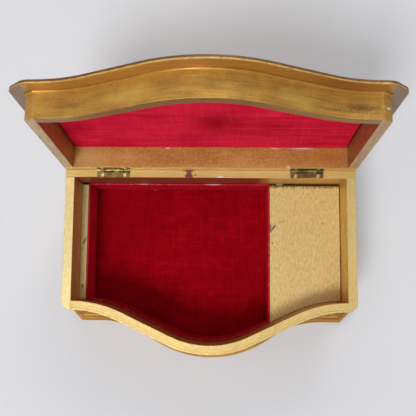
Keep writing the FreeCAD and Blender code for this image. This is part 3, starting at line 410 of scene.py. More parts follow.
@dataclass
class Effects:
    """Shader groups that several finishes share, each built once."""

    grain_lines: Cloud = Cloud(1.0, 4.0, 0.65, (0.32, 0.68))
    grain_pores: Cloud = Cloud(2.3, 2.0, 0.6, (0.60, 0.74))
    grain_cloud: Cloud = Cloud(42.0, 4.0, 0.6, (0.3, 0.7))
    bow_steps: int = 16
    spot_noise: Triple = (900.0, 3.0, 0.7)
    edge_samples: int = 4
    edge_turn: Span = (0.98, 0.78)
    weave_count: float = 760.0
    weave_stretch: float = 0.05
    weave_threads: Cloud = Cloud(1.0, 2.0, 0.6, (0.35, 0.65))
    pile_noise: Triple = (2600.0, 2.0, 0.7)
    lint_scale: float = 120.0
    lint_size: Span = (0.055, 0.02)
    grain: bpy.types.NodeTree = field(init=False)
    follow: bpy.types.NodeTree = field(init=False)
    spot: bpy.types.NodeTree = field(init=False)
    edge: bpy.types.NodeTree = field(init=False)
    weave: bpy.types.NodeTree = field(init=False)

    def __post_init__(self) -> None:
        """Builds the groups."""
        self.grain = self._grain()
        self.follow = self._follow()
        self.spot = self._spot()
        self.edge = self._edge()
        self.weave = self._weave()

    @staticmethod
    def _start(
        name: str, inputs: dict[str, Any], outputs: dict[str, Any]
    ) -> tuple[Graph, Outputs, bpy.types.Node]:
        """Makes an empty group.

        Args:
            name: the group's name.
            inputs: the default of each input, a number or a vector.
            outputs: the kind of each output, float or Vector.

        Returns:
            The group's graph, what it is given and its last node.
        """
        tree = bpy.data.node_groups.new(name, "ShaderNodeTree")
        kinds = {float: "NodeSocketFloat", tuple: "NodeSocketVector", Vector: "NodeSocketVector"}
        for label, default in inputs.items():
            kind = kinds[type(default)]
            socket = tree.interface.new_socket(name=label, in_out="INPUT", socket_type=kind)
            socket.default_value = default
        for label, kind in outputs.items():
            tree.interface.new_socket(name=label, in_out="OUTPUT", socket_type=kinds[kind])
        graph = Graph(tree)
        return graph, graph.add("NodeGroupInput", {}).outputs, graph.add("NodeGroupOutput", {})

    def _grain(self) -> bpy.types.NodeTree:
        """Draws wood grain along a vector's first axis.

        Returns:
            The group.
        """
        inputs = {"Vector": NOWHERE, "Fine": 1.0, "Stretch": 1.0}
        outputs = {"Lines": float, "Pores": float, "Cloud": float}
        graph, start, end = self._start("grain", inputs, outputs)
        along = graph.times(start["Fine"], start["Stretch"])
        spread = graph.join(along, start["Fine"], start["Fine"])
        grained = graph.stretch(start["Vector"], spread)
        drawn = {
            "Lines": graph.cloud(grained, self.grain_lines),
            "Pores": graph.cloud(grained, self.grain_pores),
            "Cloud": graph.cloud(start["Vector"], self.grain_cloud),
        }
        graph.fill(end, drawn)
        return graph.tree

    def _follow(self) -> bpy.types.NodeTree:
        """Measures places from the serpentine front.

        Returns:
            The group.
        """
        graph, start, end = self._start("front_follow", {"Vector": NOWHERE}, {"Vector": Vector})
        x, y, z = graph.parts(start[0])
        share = graph.math("DIVIDE", graph.math("ABSOLUTE", x), FORM.half_width * MM)
        bend = graph.add("ShaderNodeFloatCurve", {"Value": share})
        points = bend.mapping.curves[0].points
        while len(points) > 2:
            points.remove(points[1])
        points[0].location = (0.0, 1.0)
        points[1].location = (1.0, 0.0)
        for step in range(1, self.bow_steps):
            at = step / self.bow_steps
            points.new(at, FORM.bow(at * FORM.half_width) / FORM.bow_depth)
        bend.mapping.update()
        bow = graph.times(bend.outputs[0], FORM.bow_depth * MM)
        front = graph.minus(FORM.front_flat * MM, bow)
        graph.fill(end, {"Vector": graph.join(x, graph.minus(y, front), z)})
        return graph.tree

    def _spot(self) -> bpy.types.NodeTree:
        """Masks one place on a surface.

        Returns:
            The group.
        """
        inputs = {"Vector": NOWHERE, "Centre": NOWHERE, "Size": (MM, MM, MM)}
        inputs.update({"Soft": 1.0, "Ragged": 1.0, "Turn": 0.0})
        graph, start, end = self._start("worn_spot", inputs, {"Mask": float})
        away = graph.vector("SUBTRACT", start["Vector"], start["Centre"])[0]
        turned = graph.turn(away, start["Turn"], "Z_AXIS")
        scaled = graph.vector("DIVIDE", turned, start["Size"])[0]
        length = graph.vector("LENGTH", scaled, NOWHERE)["Value"]
        rough = graph.minus(graph.noise(start["Vector"], *self.spot_noise), 0.5)
        torn = graph.plus(length, graph.times(rough, start["Ragged"]))
        inner = graph.minus(1.0, start["Soft"])
        mask = graph.add("ShaderNodeMapRange", {0: torn, 1: inner, 2: 1.0, 3: 1.0, 4: 0.0})
        graph.fill(end, {"Mask": mask.outputs[0]})
        return graph.tree

    def _edge(self) -> bpy.types.NodeTree:
        """Finds edges and softens them.

        Returns:
            The group.
        """
        outputs = {"Mask": float, "Normal": Vector}
        graph, start, end = self._start("soft_edge", {"Radius": MM}, outputs)
        values = {"Radius": start["Radius"]}
        bevel = graph.add("ShaderNodeBevel", values, samples=self.edge_samples).outputs[0]
        face = graph.add("ShaderNodeNewGeometry", {}).outputs["Normal"]
        turned = graph.vector("DOT_PRODUCT", bevel, face)["Value"]
        graph.fill(end, {"Mask": graph.span(turned, self.edge_turn), "Normal": bevel})
        return graph.tree

    def _weave(self) -> bpy.types.NodeTree:
        """Draws the ground weave, the pile and the lint of velvet.

        Returns:
            The group.
        """
        inputs = {"Vector": NOWHERE, "Count": self.weave_count, "Stretch": self.weave_stretch}
        outputs = {"Thread": float, "Pile": float, "Lint": float}
        graph, start, end = self._start("velvet_weave", inputs, outputs)
        place, count = start["Vector"], start["Count"]
        along = graph.times(count, start["Stretch"])
        threads = [
            graph.cloud(graph.stretch(place, spread), self.weave_threads)
            for spread in (graph.join(along, count, along), graph.join(count, along, along))
        ]
        lint = graph.add("ShaderNodeTexVoronoi", {"Vector": place, "Scale": self.lint_scale})
        drawn = {
            "Thread": graph.times(graph.plus(*threads), 0.5),
            "Pile": graph.noise(place, *self.pile_noise),
            "Lint": graph.span(lint.outputs["Distance"], self.lint_size),
        }
        graph.fill(end, drawn)
        return graph.tree


class Surface(Graph):
    """The graph of one material, with its places and the effects that it shares."""

    def __init__(self, tree: bpy.types.NodeTree, effects: Effects, home: Home) -> None:
        """Finds places, in metres, and normals in the axes that the pattern follows.

        Args:
            tree: the material's node tree.
            effects: the shader groups that finishes share.
            home: the case, or the lid as if shut.
        """
        super().__init__(tree)
        self.effects = effects
        where = self.add("ShaderNodeTexCoord", {}).outputs
        self.at, self.normal = where["Object"], where["Normal"]
        if home is Home.LID:
            shut = math.radians(FORM.lid_angle)
            self.at = self.turn(self.at, shut, "X_AXIS", FORM.hinge)
            self.normal = self.turn(self.normal, shut, "X_AXIS")

    def along(self, way: Way) -> Socket:
        """Turns places so that the direction of a board's grain comes first.

        Args:
            way: the direction of the grain.

        Returns:
            The place, in the board's own axes.
        """
        if way is Way.FRONT:
            return self.place(self.effects.follow, {"Vector": self.at})[0]
        if way is Way.LENGTH:
            return self.at
        x, y, z = self.parts(self.at)
        return self.join(y, x, z)

    def grain(self, way: Way, fine: float, stretch: float) -> Outputs:
        """Returns the lines, pores and clouds of wood grain that runs one way."""
        values = {"Vector": self.along(way), "Fine": fine, "Stretch": stretch}
        return self.place(self.effects.grain, values)

    def edge(self, radius: float) -> Outputs:
        """Returns the mask and the normal of edges, softened by some millimetres."""
        return self.place(self.effects.edge, {"Radius": radius * MM})

    def over(self, level: float) -> Socket:
        """Returns the height over a level that is given in millimetres."""
        return self.minus(self.parts(self.at)[2], level * MM)

    def marked(self, colour: Socket, marks: tuple[Mark, ...]) -> Socket:
        """Lays marks over a colour.

        Args:
            colour: the colour under the marks.
            marks: what is laid on, in order.

        Returns:
            The colour with its marks.
        """
        for mark in marks:
            values = {
                "Vector": self.at,
                "Centre": tuple(step * MM for step in mark.centre),
                "Size": tuple(step * MM for step in mark.size),
                "Soft": mark.soft,
                "Ragged": mark.ragged,
                "Turn": math.radians(mark.turn),
            }
            share = self.times(self.place(self.effects.spot, values)["Mask"], mark.strength)
            colour = self.mix(share, colour, mark.tone)
        return colour


@dataclass(frozen=True)
class Finish:
    """A named surface with its marks, which each kind of finish draws in its own way.

    In finishes, lengths are in millimetres, and a span says where a change starts and ends.
    """

    name: str
    home: Home = field(default=Home.CASE, kw_only=True)
    marks: tuple[Mark, ...] = field(default=(), kw_only=True)

    def dress(self, effects: Effects) -> bpy.types.Material:
        """Makes the finish a material.

        Args:
            effects: the shader groups that finishes share.

        Returns:
            The new material.
        """
        material = bpy.data.materials.new(self.name)
        material.use_nodes = True
        on = Surface(material.node_tree, effects, self.home)
        fed = self.draw(on)
        fed["Base Color"] = on.marked(fed["Base Color"], self.marks)
        on.fill(material.node_tree.nodes["Principled BSDF"], fed)
        return material

    def draw(self, on: Surface) -> dict[str, Value]:
        """Returns what the main shader is fed, by the names of its inputs."""
        raise NotImplementedError


@dataclass(frozen=True)
class Gilt(Finish):
    """Gold paint over wood, pale where a face lies flat and darker where it stands, as painted light
    and shade by the way each face turns.
    """

    flat: Tone = Tone(240, 217, 154)
    stood: Tone = Tone(214, 174, 86)
    front: Tone = Tone(210, 159, 66)
    deep: Tone = Tone(146, 98, 42)
    line: Tone = Tone(206, 176, 124)
    bright: Tone = Tone(246, 222, 164)
    way: Way = Way.LENGTH
    metal: float = 0.3
    roughness: float = 0.36
    dull_lines: float = 0.14
    blotch: float = 0.4
    level_blotch: float = 0.35
    speck: float = 0.3
    lines: float = 0.6
    fine: float = 900.0
    stretch: float = 0.04
    bump: float = 0.2
    bump_depth: float = 0.25
    scuff: float = 0.0
    scuffs: Cloud = Cloud(1050.0, 3.0, 0.7, (0.5, 0.64))
    edge: float = 0.6
    glint: float = 0.6
    lying: Span = (0.6, 0.85)
    ahead: Span = (-0.3, -0.6)

    def draw(self, on: Surface) -> dict[str, Value]:
        """Draws gold with its grain, its wear, painted light and shade by facing, and a painted
        highlight on its edges.

        Args:
            on: the surface.

        Returns:
            What the main shader is fed.
        """
        grain, edge = on.grain(self.way, self.fine, self.stretch), on.edge(self.edge)
        _side, ahead, level = on.parts(on.normal)
        lying = on.span(on.math("ABSOLUTE", level), self.lying)
        # Painted light and shade by facing: upright faces take the stood tone, forward faces the
        # front tone and level faces the flat tone.
        colour = on.mix(on.span(ahead, self.ahead), self.stood, self.front)
        colour = on.mix(lying, colour, self.flat)
        blotch = on.times(on.minus(1.0, grain["Cloud"]), self.blotch)
        blotch = on.times(blotch, on.span(lying, WHOLE, (1.0, self.level_blotch)))
        colour = on.mix(blotch, colour, self.deep)
        colour = on.mix(on.times(grain["Lines"], self.lines), colour, self.line, Blend.TINT)
        colour = on.mix(on.times(grain["Pores"], self.speck), colour, self.deep)
        colour = on.mix(on.cloud(on.at, self.scuffs, (0.0, self.scuff)), colour, self.bright)
        # Painted highlight along the edges, in the same bright tone as the scuffs.
        glint = on.times(on.times(edge["Mask"], grain["Cloud"]), self.glint)
        colour = on.mix(glint, colour, self.bright)
        matt = (self.roughness, self.roughness + self.dull_lines)
        return {
            "Base Color": self.detail(on, colour, lying),
            "Roughness": on.span(grain["Lines"], WHOLE, matt),
            "Normal": on.bump(grain["Lines"], self.bump, self.bump_depth, edge["Normal"]),
            "Metallic": self.metal,
        }

    def detail(self, on: Surface, colour: Socket, lying: Socket) -> Socket:
        """Returns the colour with what only one kind of board has, here nothing."""
        return colour


@dataclass(frozen=True)
class RuledRim(Gilt):
    """The front wall's gold, with thin lines along its rim.

    A rule is its distance from the front, its width and its strength.
    """

    rules: tuple[Triple, ...] = ((1.7, 0.35, 0.55), (3.6, 0.25, 0.3))
    rule_core: float = 0.1

    def detail(self, on: Surface, colour: Socket, lying: Socket) -> Socket:
        """Draws the lines that follow the front.

        Args:
            on: the surface.
            colour: the gold under them.
            lying: how level the surface is.

        Returns:
            The colour with its lines.
        """
        across = on.parts(on.along(Way.FRONT))[1]
        for inset, width, strength in self.rules:
            off = on.away(across, inset * MM)
            mask = on.span(off, (width, self.rule_core), (0.0, strength), MM)
            colour = on.mix(mask, colour, self.deep)
        return colour


@dataclass(frozen=True)
class SawnPanel(Gilt):
    """The movement's cover: gold over a sawn board with a rough, dark rear edge."""

    saw: Triple = (1700.0, 300.0, 1.0)
    dash: Cloud = Cloud(1.0, 2.0, 0.6, (0.5, 0.68))
    dashes: float = 0.36
    rear: float = 48.6
    ragged: float = 7.0
    ragged_share: float = 0.45
    fringe: Triple = (900.0, 160.0, 0.0)
    fringe_noise: Triple = (1.0, 3.0, 0.7)
    torn: Tone = Tone(96, 68, 36)
    torn_span: Span = (4.0, 6.2)
    torn_strength: float = 0.85

    def detail(self, on: Surface, colour: Socket, lying: Socket) -> Socket:
        """Draws the saw's short dashes and the rough rear edge.

        Args:
            on: the surface.
            colour: the gold under them.
            lying: how level the surface is.

        Returns:
            The colour of the sawn board.
        """
        dash = on.cloud(on.stretch(on.at, self.saw), self.dash, (0.0, self.dashes))
        colour = on.mix(dash, colour, self.deep)
        fringe = on.noise(on.stretch(on.at, self.fringe), *self.fringe_noise)
        start = (self.rear - self.ragged_share * self.ragged) * MM
        back = on.minus(on.parts(on.at)[1], start)
        reach = on.plus(back, on.times(fringe, self.ragged * MM))
        mask = on.span(reach, self.torn_span, (0.0, self.torn_strength), MM)
        return on.mix(mask, colour, self.torn)


@dataclass(frozen=True)
class Moulding(Gilt):
    """The plinth's gold, with a red-tan painted highlight in cloudy patches in the cove, and painted
    shade under the walls and along the cove's foot.

    Heights are measured from the foot of the cove.
    """

    cove: float = 4.62
    ground: Tone = Tone(164, 106, 48)
    cove_highlight_patches: Cloud = Cloud(160.0, 3.0, 0.65, (0.3, 0.65))
    cove_highlight_shares: Span = (0.95, 0.4)
    cove_span: Span = (0.0, 0.15)
    top_span: Span = (0.7, 3.6)
    top_strength: float = 0.85
    foot: float = 0.06
    foot_span: Span = (0.12, 0.04)
    foot_strength: float = 0.8

    def detail(self, on: Surface, colour: Socket, lying: Socket) -> Socket:
        """Draws the cove's red-tan painted highlight and the painted shade at its top and along its
        foot.

        Args:
            on: the surface.
            colour: the gold under them.
            lying: how level the surface is.

        Returns:
            The colour of the moulding.
        """
        height = on.over(self.cove)
        # The cove's red-tan tone is a painted highlight, and its dark top and foot are painted
        # shade.
        cove_highlight_patches = on.cloud(on.at, self.cove_highlight_patches, self.cove_highlight_shares)
        cove = on.times(on.span(height, self.cove_span, WHOLE, MM), cove_highlight_patches)
        colour = on.mix(cove, colour, self.ground)
        top = on.span(height, self.top_span, (0.0, self.top_strength), MM)
        colour = on.mix(top, colour, self.deep)
        off = on.away(height, self.foot * MM)
        foot = on.span(off, self.foot_span, (0.0, self.foot_strength), MM)
        return on.mix(foot, colour, self.deep)


@dataclass(frozen=True)
class EdgedBoard(Gilt):
    """The lid's board: gold on both faces, a bright lip and a dark upper edge.

    Heights are measured from the board's underside.
    """

    dark: Tone = Tone(96, 58, 42)
    dark_strength: float = 0.9
    top: Tone = Tone(216, 176, 92)
    lip_wear: Cloud = Cloud(210.0, 3.0, 0.7, (0.36, 0.6))
    lip_shares: Span = (0.15, 0.95)
    lip_span: Span = (0.1, 0.4)
    dark_span: Span = (0.8, 1.5)
    top_span: Span = (2.6, 2.9)
    top_wear: Cloud = Cloud(38.0, 4.0, 0.62, (0.32, 0.68))
    top_shares: Span = (0.9, 0.35)

    def detail(self, on: Surface, colour: Socket, lying: Socket) -> Socket:
        """Draws the bright lip, the dark edge and the dull top.

        Args:
            on: the surface.
            colour: the gold under them.
            lying: how level the surface is.

        Returns:
            The colour of the board.
        """
        height = on.over(FORM.lid_under)
        edge = on.minus(1.0, lying)
        lip = on.times(on.span(height, self.lip_span, WHOLE, MM), edge)
        lip = on.times(lip, on.cloud(on.at, self.lip_wear, self.lip_shares))
        colour = on.mix(lip, colour, self.bright)
        dark = on.times(on.span(height, self.dark_span, WHOLE, MM), edge)
        colour = on.mix(on.times(dark, self.dark_strength), colour, self.dark)
        top = on.times(on.span(height, self.top_span, WHOLE, MM), lying)
        top = on.times(top, on.cloud(on.at, self.top_wear, self.top_shares))
        return on.mix(top, colour, self.top)


@dataclass(frozen=True)
class Velvet(Finish):
    """Red velvet on card, with its weave, its pile and the streaks of a brushed nap.

    A card with an edge height is frayed there.
    """

    ground: Tone
    crushed: Tone
    nap: Tone
    streak: Triple = (16.0, 210.0, 210.0)
    streak_noise: Triple = (1.0, 4.0, 0.6)
    streaks: float = 0.7
    crushed_span: Span = (0.5, 0.68)
    nap_span: Span = (0.48, 0.32)
    shade: Cloud = Cloud(28.0, 4.0, 0.6, (0.35, 0.7))
    shade_strength: float = 0.6
    threads: float = 0.3
    thread_span: Span = (0.35, 0.8)
    pile: float = 0.3
    pile_span: Span = (0.45, 0.75)
    lint: Tone = Tone(206, 120, 122)
    lint_patches: Cloud = Cloud(75.0, 1.0, 0.5, (0.62, 0.7))
    lint_strength: float = 0.5
    edge_height: float = 0.0
    fray: Tone = Tone(205, 110, 112)
    fray_span: Span = (-0.75, -0.1)
    frays: Cloud = Cloud(420.0, 3.0, 0.7, (0.5, 0.66))
    fray_shares: Span = (0.1, 0.75)
    bump: float = 0.35
    bump_depth: float = 0.3
    bump_streaks: float = 1.2
    roughness: float = 0.95
    specular: float = 0.04
    sheen: float = 0.06
    sheen_roughness: float = 0.4
    sheen_tint: Tone = Tone(255, 60, 80)

    def draw(self, on: Surface) -> dict[str, Value]:
        """Draws velvet with its streaks, its weave and its lint.

        Args:
            on: the surface.

        Returns:
            What the main shader is fed.
        """
        weave = on.place(on.effects.weave, {"Vector": on.at})
        brushed = on.noise(on.stretch(on.at, self.streak), *self.streak_noise)
        shade = on.cloud(on.at, self.shade, (0.0, self.shade_strength))
        colour = on.mix(shade, self.ground, self.crushed)
        layers = (
            (brushed, self.crushed_span, self.streaks, self.crushed),
            (brushed, self.nap_span, self.streaks, self.nap),
            (weave["Thread"], self.thread_span, self.threads, self.crushed),
            (weave["Pile"], self.pile_span, self.pile, self.nap),
        )
        for pattern, limits, strength, tone in layers:
            colour = on.mix(on.span(pattern, limits, (0.0, strength)), colour, tone)
        lint = on.times(weave["Lint"], on.cloud(on.at, self.lint_patches))
        colour = on.mix(on.times(lint, self.lint_strength), colour, self.lint)
        if self.edge_height:
            edge = on.span(on.over(self.edge_height), self.fray_span, WHOLE, MM)
            frayed = on.times(edge, on.cloud(on.at, self.frays, self.fray_shares))
            colour = on.mix(frayed, colour, self.fray)
        raised = on.plus(weave["Pile"], on.times(brushed, self.bump_streaks))
        return {
            "Base Color": colour,
            "Normal": on.bump(raised, self.bump, self.bump_depth),
            "Roughness": self.roughness,
            "Specular IOR Level": self.specular,
            "Sheen Weight": self.sheen,
            "Sheen Roughness": self.sheen_roughness,
            "Sheen Tint": self.sheen_tint,
        }


@dataclass(frozen=True)
class Metal(Finish):
    """A metal with tarnish, fine scratches and bright edges."""

    clean: Tone
    tarnish: Tone
    grime: Tone
    tarnished: float = 0.5
    roughness: Span = (0.28, 0.55)
    shine: float = 1.0
    scale: float = 260.0
    cloud_noise: Span = (4.0, 0.65)
    tarnish_span: Span = (0.35, 0.65)
    roughness_span: Span = (0.3, 0.7)
    fine_scale: float = 7.0
    fine_noise: Span = (3.0, 0.7)
    grime_span: Span = (0.55, 0.75)
    grimy: float = 0.35
    scratch: Triple = (180.0, 4200.0, 4200.0)
    scratch_noise: Triple = (1.0, 2.0, 0.5)
    scratches: float = 0.4
    edge: float = 0.25
    bright_edge: float = 0.5
    bump: float = 0.18
    bump_depth: float = 0.08

    def draw(self, on: Surface) -> dict[str, Value]:
        """Draws metal with its tarnish, its grime and its scratches.

        Args:
            on: the surface.

        Returns:
            What the main shader is fed.
        """
        edge = on.edge(self.edge)
        cloud = on.noise(on.at, self.scale, *self.cloud_noise)
        fine = on.noise(on.at, self.scale * self.fine_scale, *self.fine_noise)
        scratch = on.noise(on.stretch(on.at, self.scratch), *self.scratch_noise)
        tarnish = on.span(cloud, self.tarnish_span, (0.0, self.tarnished))
        colour = on.mix(tarnish, self.clean, self.tarnish)
        colour = on.mix(on.span(fine, self.grime_span, (0.0, self.grimy)), colour, self.grime)
        raised = on.plus(on.times(scratch, self.scratches), fine)
        return {
            "Base Color": on.mix(on.times(edge["Mask"], self.bright_edge), colour, self.clean),
            "Roughness": on.span(cloud, self.roughness_span, self.roughness),
            "Normal": on.bump(raised, self.bump, self.bump_depth, edge["Normal"]),
            "Metallic": self.shine,
        }


@dataclass(frozen=True)
class RawWood(Finish):
    """Bare softwood, as on boards that the box hides."""

    pale: Tone = Tone(198, 160, 112)
    ring: Tone = Tone(150, 106, 64)
    pore: Tone = Tone(96, 62, 36)
    pores: float = 0.4
    way: Way = Way.LENGTH
    fine: float = 420.0
    stretch: float = 0.03
    edge: float = 0.5
    faded_span: Span = (0.2, 1.0)
    faded: float = 0.3
    roughness: Span = (0.6, 0.8)
    bump: float = 0.35
    bump_depth: float = 0.2

    def draw(self, on: Surface) -> dict[str, Value]:
        """Draws wood with its rings and its pores.

        Args:
            on: the surface.

        Returns:
            What the main shader is fed.
        """
        grain, edge = on.grain(self.way, self.fine, self.stretch), on.edge(self.edge)
        colour = on.mix(grain["Lines"], self.pale, self.ring)
        colour = on.mix(on.times(grain["Pores"], self.pores), colour, self.pore)
        faded = on.span(grain["Cloud"], self.faded_span, (0.0, self.faded))
        return {
            "Base Color": on.mix(faded, colour, self.pale),
            "Roughness": on.span(grain["Lines"], WHOLE, self.roughness),
            "Normal": on.bump(grain["Lines"], self.bump, self.bump_depth, edge["Normal"]),
        }


@dataclass(frozen=True)
class Paper(Finish):
    """Pale floor paper with faint flecks."""

    tone: Tone = Tone(215, 215, 219)
    fleck: Tone = Tone(200, 200, 204)
    flecks: Cloud = Cloud(240.0, 2.0, 0.5, (0.3, 0.7))
    flecked: float = 0.05
    roughness: float = 0.9

    def draw(self, on: Surface) -> dict[str, Value]:
        """Returns what the main shader is fed for the paper."""
        flecks = on.cloud(on.at, self.flecks, (0.0, self.flecked))
        return {"Base Color": on.mix(flecks, self.tone, self.fleck), "Roughness": self.roughness}


def new_object(name: str, shape: bmesh.types.BMesh, surface: bpy.types.Material) -> bpy.types.Object:
    """Puts a shape into the scene.

    Args:
        name: the object's name.
        shape: its shape, which is freed.
        surface: its material.

    Returns:
        The new object.
    """
    mesh = bpy.data.meshes.new(name)
    shape.to_mesh(mesh)
    shape.free()
    mesh.materials.append(surface)
    made = bpy.data.objects.new(name, mesh)
    bpy.context.scene.collection.objects.link(made)
    return made


def round_off(
    shape: bmesh.types.BMesh, geometry: list[Any], offset: float, segments: int, cut: Cut = Cut.EDGES
) -> None:
    """Rounds edges or points off a shape.

    Args:
        shape: the shape, which is changed.
        geometry: its edges or its points.
        offset: how far they are cut back, in millimetres.
        segments: the steps of the rounding.
        cut: whether edges or points are cut.
    """
    bmesh.ops.bevel(
        shape,
        geom=geometry,
        offset=offset * MM,
        offset_type="OFFSET",
        segments=segments,
        profile=0.5,
        affect=cut.value,
        clamp_overlap=True,
        material=-1,
    )


Coats = tuple[tuple[Finish, tuple[str, ...]], ...]


@dataclass
class Assembly:
    """A part of the box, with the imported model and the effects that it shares.

    Its coats are its finishes, each with the CAD nodes that wear it.
    """

    frame: dict[str, Any]
    effects: Effects
    coats: Coats = ()

    def dress(self) -> None:
        """Gives every CAD node its finish."""
        for finish, nodes in self.coats:
            material = finish.dress(self.effects)
            for name in nodes:
                piece = self.frame["nodes"][name]
                if not piece.material_slots:
                    piece.data.materials.append(material)
                for slot in piece.material_slots:
                    slot.material = material
                LOG.info("%s dressed in %s", name, material.name)

    def copy(self, node: str) -> bmesh.types.BMesh:
        """Copies a CAD node's shape and merges its loose triangles.

        Args:
            node: the node's name.

        Returns:
            The shape, along the axes of the case or of the shut lid.
        """
        shape = bmesh.new()
        shape.from_mesh(self.frame["nodes"][node].data)
        bmesh.ops.transform(shape, matrix=FORM.shut(Home.of(node)), verts=shape.verts)
        bmesh.ops.remove_doubles(shape, verts=shape.verts, dist=MERGED)
        bmesh.ops.dissolve_limit(shape, angle_limit=LEVEL, verts=shape.verts, edges=shape.edges)
        return shape

    def stand_in(
        self, name: str, shape: bmesh.types.BMesh, node: str, slot: str, surface: bpy.types.Material
    ) -> bpy.types.Object:
        """Makes a shape a piece that stands for a CAD node.

        Args:
            name: the piece's name.
            shape: its shape along the axes of the case or of the shut lid, which is freed.
            node: the CAD node that it stands for.
            slot: the record's finish, which is not used.
            surface: its material.

        Returns:
            The new piece.
        """
        home = Home.of(node)
        bmesh.ops.transform(shape, matrix=FORM.shut(home).inverted(), verts=shape.verts)
        piece = new_object(name, shape, surface)
        piece.data.shade_smooth()
        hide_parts(node)
        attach(piece, home.value)
        LOG.info("%s stands for %s", piece.name, node)
        return piece


@dataclass
class Case(Assembly):
    """The wooden case: plinth, walls, ledge, cover and the boards under them."""

    SPOOL: ClassVar[Tone] = Tone(130, 58, 48)
    CHIP_AND_HIGHLIGHT: ClassVar[Tone] = Tone(244, 226, 214)
    PAINTED_VELVET_REFLECTION: ClassVar[Tone] = Tone(142, 50, 38)
    SCRATCH: ClassVar[Tone] = Tone(66, 78, 68)
    DENT: ClassVar[Tone] = Tone(160, 128, 66)
    SMEAR: ClassVar[Tone] = Tone(72, 78, 58)
    back_gold: Gilt = Gilt(
        "back_gold", flat=Tone(228, 195, 120), lines=0.4, speck=0.45, scuff=0.2,
        marks=(
            Mark((-16.2, 51.4, FORM.rim), (3.7, 2, 4), SPOOL, 1, 0.3, 0.5),
            Mark((-16.1, 53.8, FORM.rim), (2.3, 3, 4), SPOOL, 0.95, 0.3, 0.5),
            Mark((-16.3, 56, FORM.rim), (4.5, 2, 4), SPOOL, 0.95, 0.35, 0.6),
            Mark((-11.3, 52.2, FORM.rim), (0.75, 0.75, 2), SPOOL, 0.9, 0.4, 0.2),
            Mark((-11.9, 55.2, FORM.rim), (0.5, 0.4, 2), SPOOL, 0.8, 0.4, 0.2),
            Mark((-20.6, 54.9, FORM.rim), (0.6, 0.4, 2), SPOOL, 0.7, 0.4, 0.2),
            Mark((8, 50.8, FORM.rim), (3, 1, 2), CHIP_AND_HIGHLIGHT, 0.9, 0.4, 0.6),
            # Painted red reflection of the velvet on the back wall's inner face.
            Mark((-82, 50, 64), (132, 0.45, 80), PAINTED_VELVET_REFLECTION, 0.88, 0.06, 0.05),
        ),
    )
    front_gold: RuledRim = RuledRim(
        "front_gold", flat=Tone(232, 204, 130), stood=Tone(206, 164, 92), deep=Tone(150, 112, 44),
        way=Way.FRONT, lines=0.4, speck=0.65, stretch=0.3, scuff=0.25,
        marks=(
            Mark((0, -80, FORM.rim), (64, 14, 3), Tone(196, 164, 100), 0.3, 0.9, 0.9),
        ),
    )
    left_gold: Gilt = Gilt(
        "left_gold", flat=Tone(246, 228, 160), stood=Tone(236, 200, 108),
        way=Way.DEPTH, lines=0.35, speck=0.5, stretch=0.25, scuff=0.2,
    )
    # The right wall is the left wall's gold made darker, as painted shade.
    right_gold: Gilt = replace(
        left_gold, name="right_gold", flat=Tone(228, 202, 130), stood=Tone(230, 198, 92)
    )
    cover_gold: SawnPanel = SawnPanel(
        "cover_gold", flat=Tone(238, 212, 142), deep=Tone(122, 92, 40), way=Way.DEPTH,
        roughness=0.42, blotch=0.15, speck=0.85, lines=0.5, fine=1500.0, stretch=0.16,
        bump=0.12, scuff=0.3,
        marks=(
            Mark((50, 13.6, FORM.ledge), (0.75, 5.4, 3), SCRATCH, 0.85, 0.5, 0.5, 33),
            Mark((51.2, 14.4, FORM.ledge), (0.5, 3.4, 3), SCRATCH, 0.8, 0.5, 0.5, 35),
            Mark((47.9, 14.6, FORM.ledge), (1.9, 4.6, 3), SCRATCH, 0.75, 0.6, 0.9),
            Mark((58, 19.4, FORM.ledge), (4.2, 0.8, 3), DENT, 0.6, 0.8, 0.6, -8),
            Mark((68, 30, FORM.ledge), (0.5, 6, 3), DENT, 0.5, 0.8, 0.6, 6),
            Mark((52, -18, FORM.ledge), (1.2, 1, 3), Tone(120, 124, 92), 0.5, 0.7, 0.6),
            Mark((90, 18, FORM.ledge), (2.2, 1.4, 3), Tone(150, 116, 60), 0.5, 0.8, 0.8),
        ),
    )
    # The ledge's nearly white flat tone is painted light, set against the shade it lies in.
    ledge_gold: Gilt = Gilt(
        "ledge_gold", flat=Tone(255, 246, 178), way=Way.DEPTH, speck=0.5,
        marks=(
            Mark((-101, 2.6, FORM.ledge), (0.9, 4.8, 3), SMEAR, 0.85, 0.6, 0.6, 26),
            Mark((-102.6, -3.5, FORM.ledge), (0.7, 3.2, 3), SMEAR, 0.6, 0.7, 0.6, 10),
            Mark((-101.6, -33.4, FORM.ledge), (1, 3, 3), SMEAR, 0.6, 0.7, 0.6, -10),
            Mark((-101.2, -24, FORM.ledge), (0.4, 7, 3), Tone(110, 92, 60), 0.5, 0.7, 0.6, 4),
        ),
    )
    plinth_gold: Moulding = Moulding(
        "plinth_gold", flat=Tone(228, 178, 76), stood=Tone(208, 154, 56), front=Tone(208, 154, 56),
        deep=Tone(92, 54, 24), bright=Tone(222, 178, 88), way=Way.FRONT,
        metal=0.6, roughness=0.5, blotch=0.6, speck=0.5,
        marks=(
            # The dark marks at the corners are painted shade by the walls, and the pinkish mark is a
            # painted highlight.
            Mark((-102, -54, 4.6), (30, 18, 4), Tone(128, 86, 32), 0.5, 0.9, 1.2),
            Mark((-96, -53, 7.4), (13, 9, 2.6), Tone(206, 150, 112), 0.4, 0.8, 0.9),
            Mark((-109, -49, 7.4), (9, 9, 2.8), Tone(96, 58, 30), 0.8, 0.7, 0.9),
            Mark((112, -50, 7.4), (10, 10, 2.8), Tone(112, 68, 34), 0.7, 0.7, 0.9),
        ),
    )
    coats: Coats = (
        (back_gold, ("back_wall",)),
        (front_gold, ("front_wall",)),
        (left_gold, ("left_wall",)),
        (right_gold, ("right_wall",)),
        (cover_gold, ("movement_cover",)),
        (ledge_gold, ("tray_spacer",)),
        (plinth_gold, ("plinth",)),
        (RawWood("base_wood"), ("bottom_board",)),
        (RawWood("inner_wood", way=Way.DEPTH), ("movement_divider", "panel_cleat")),
    )


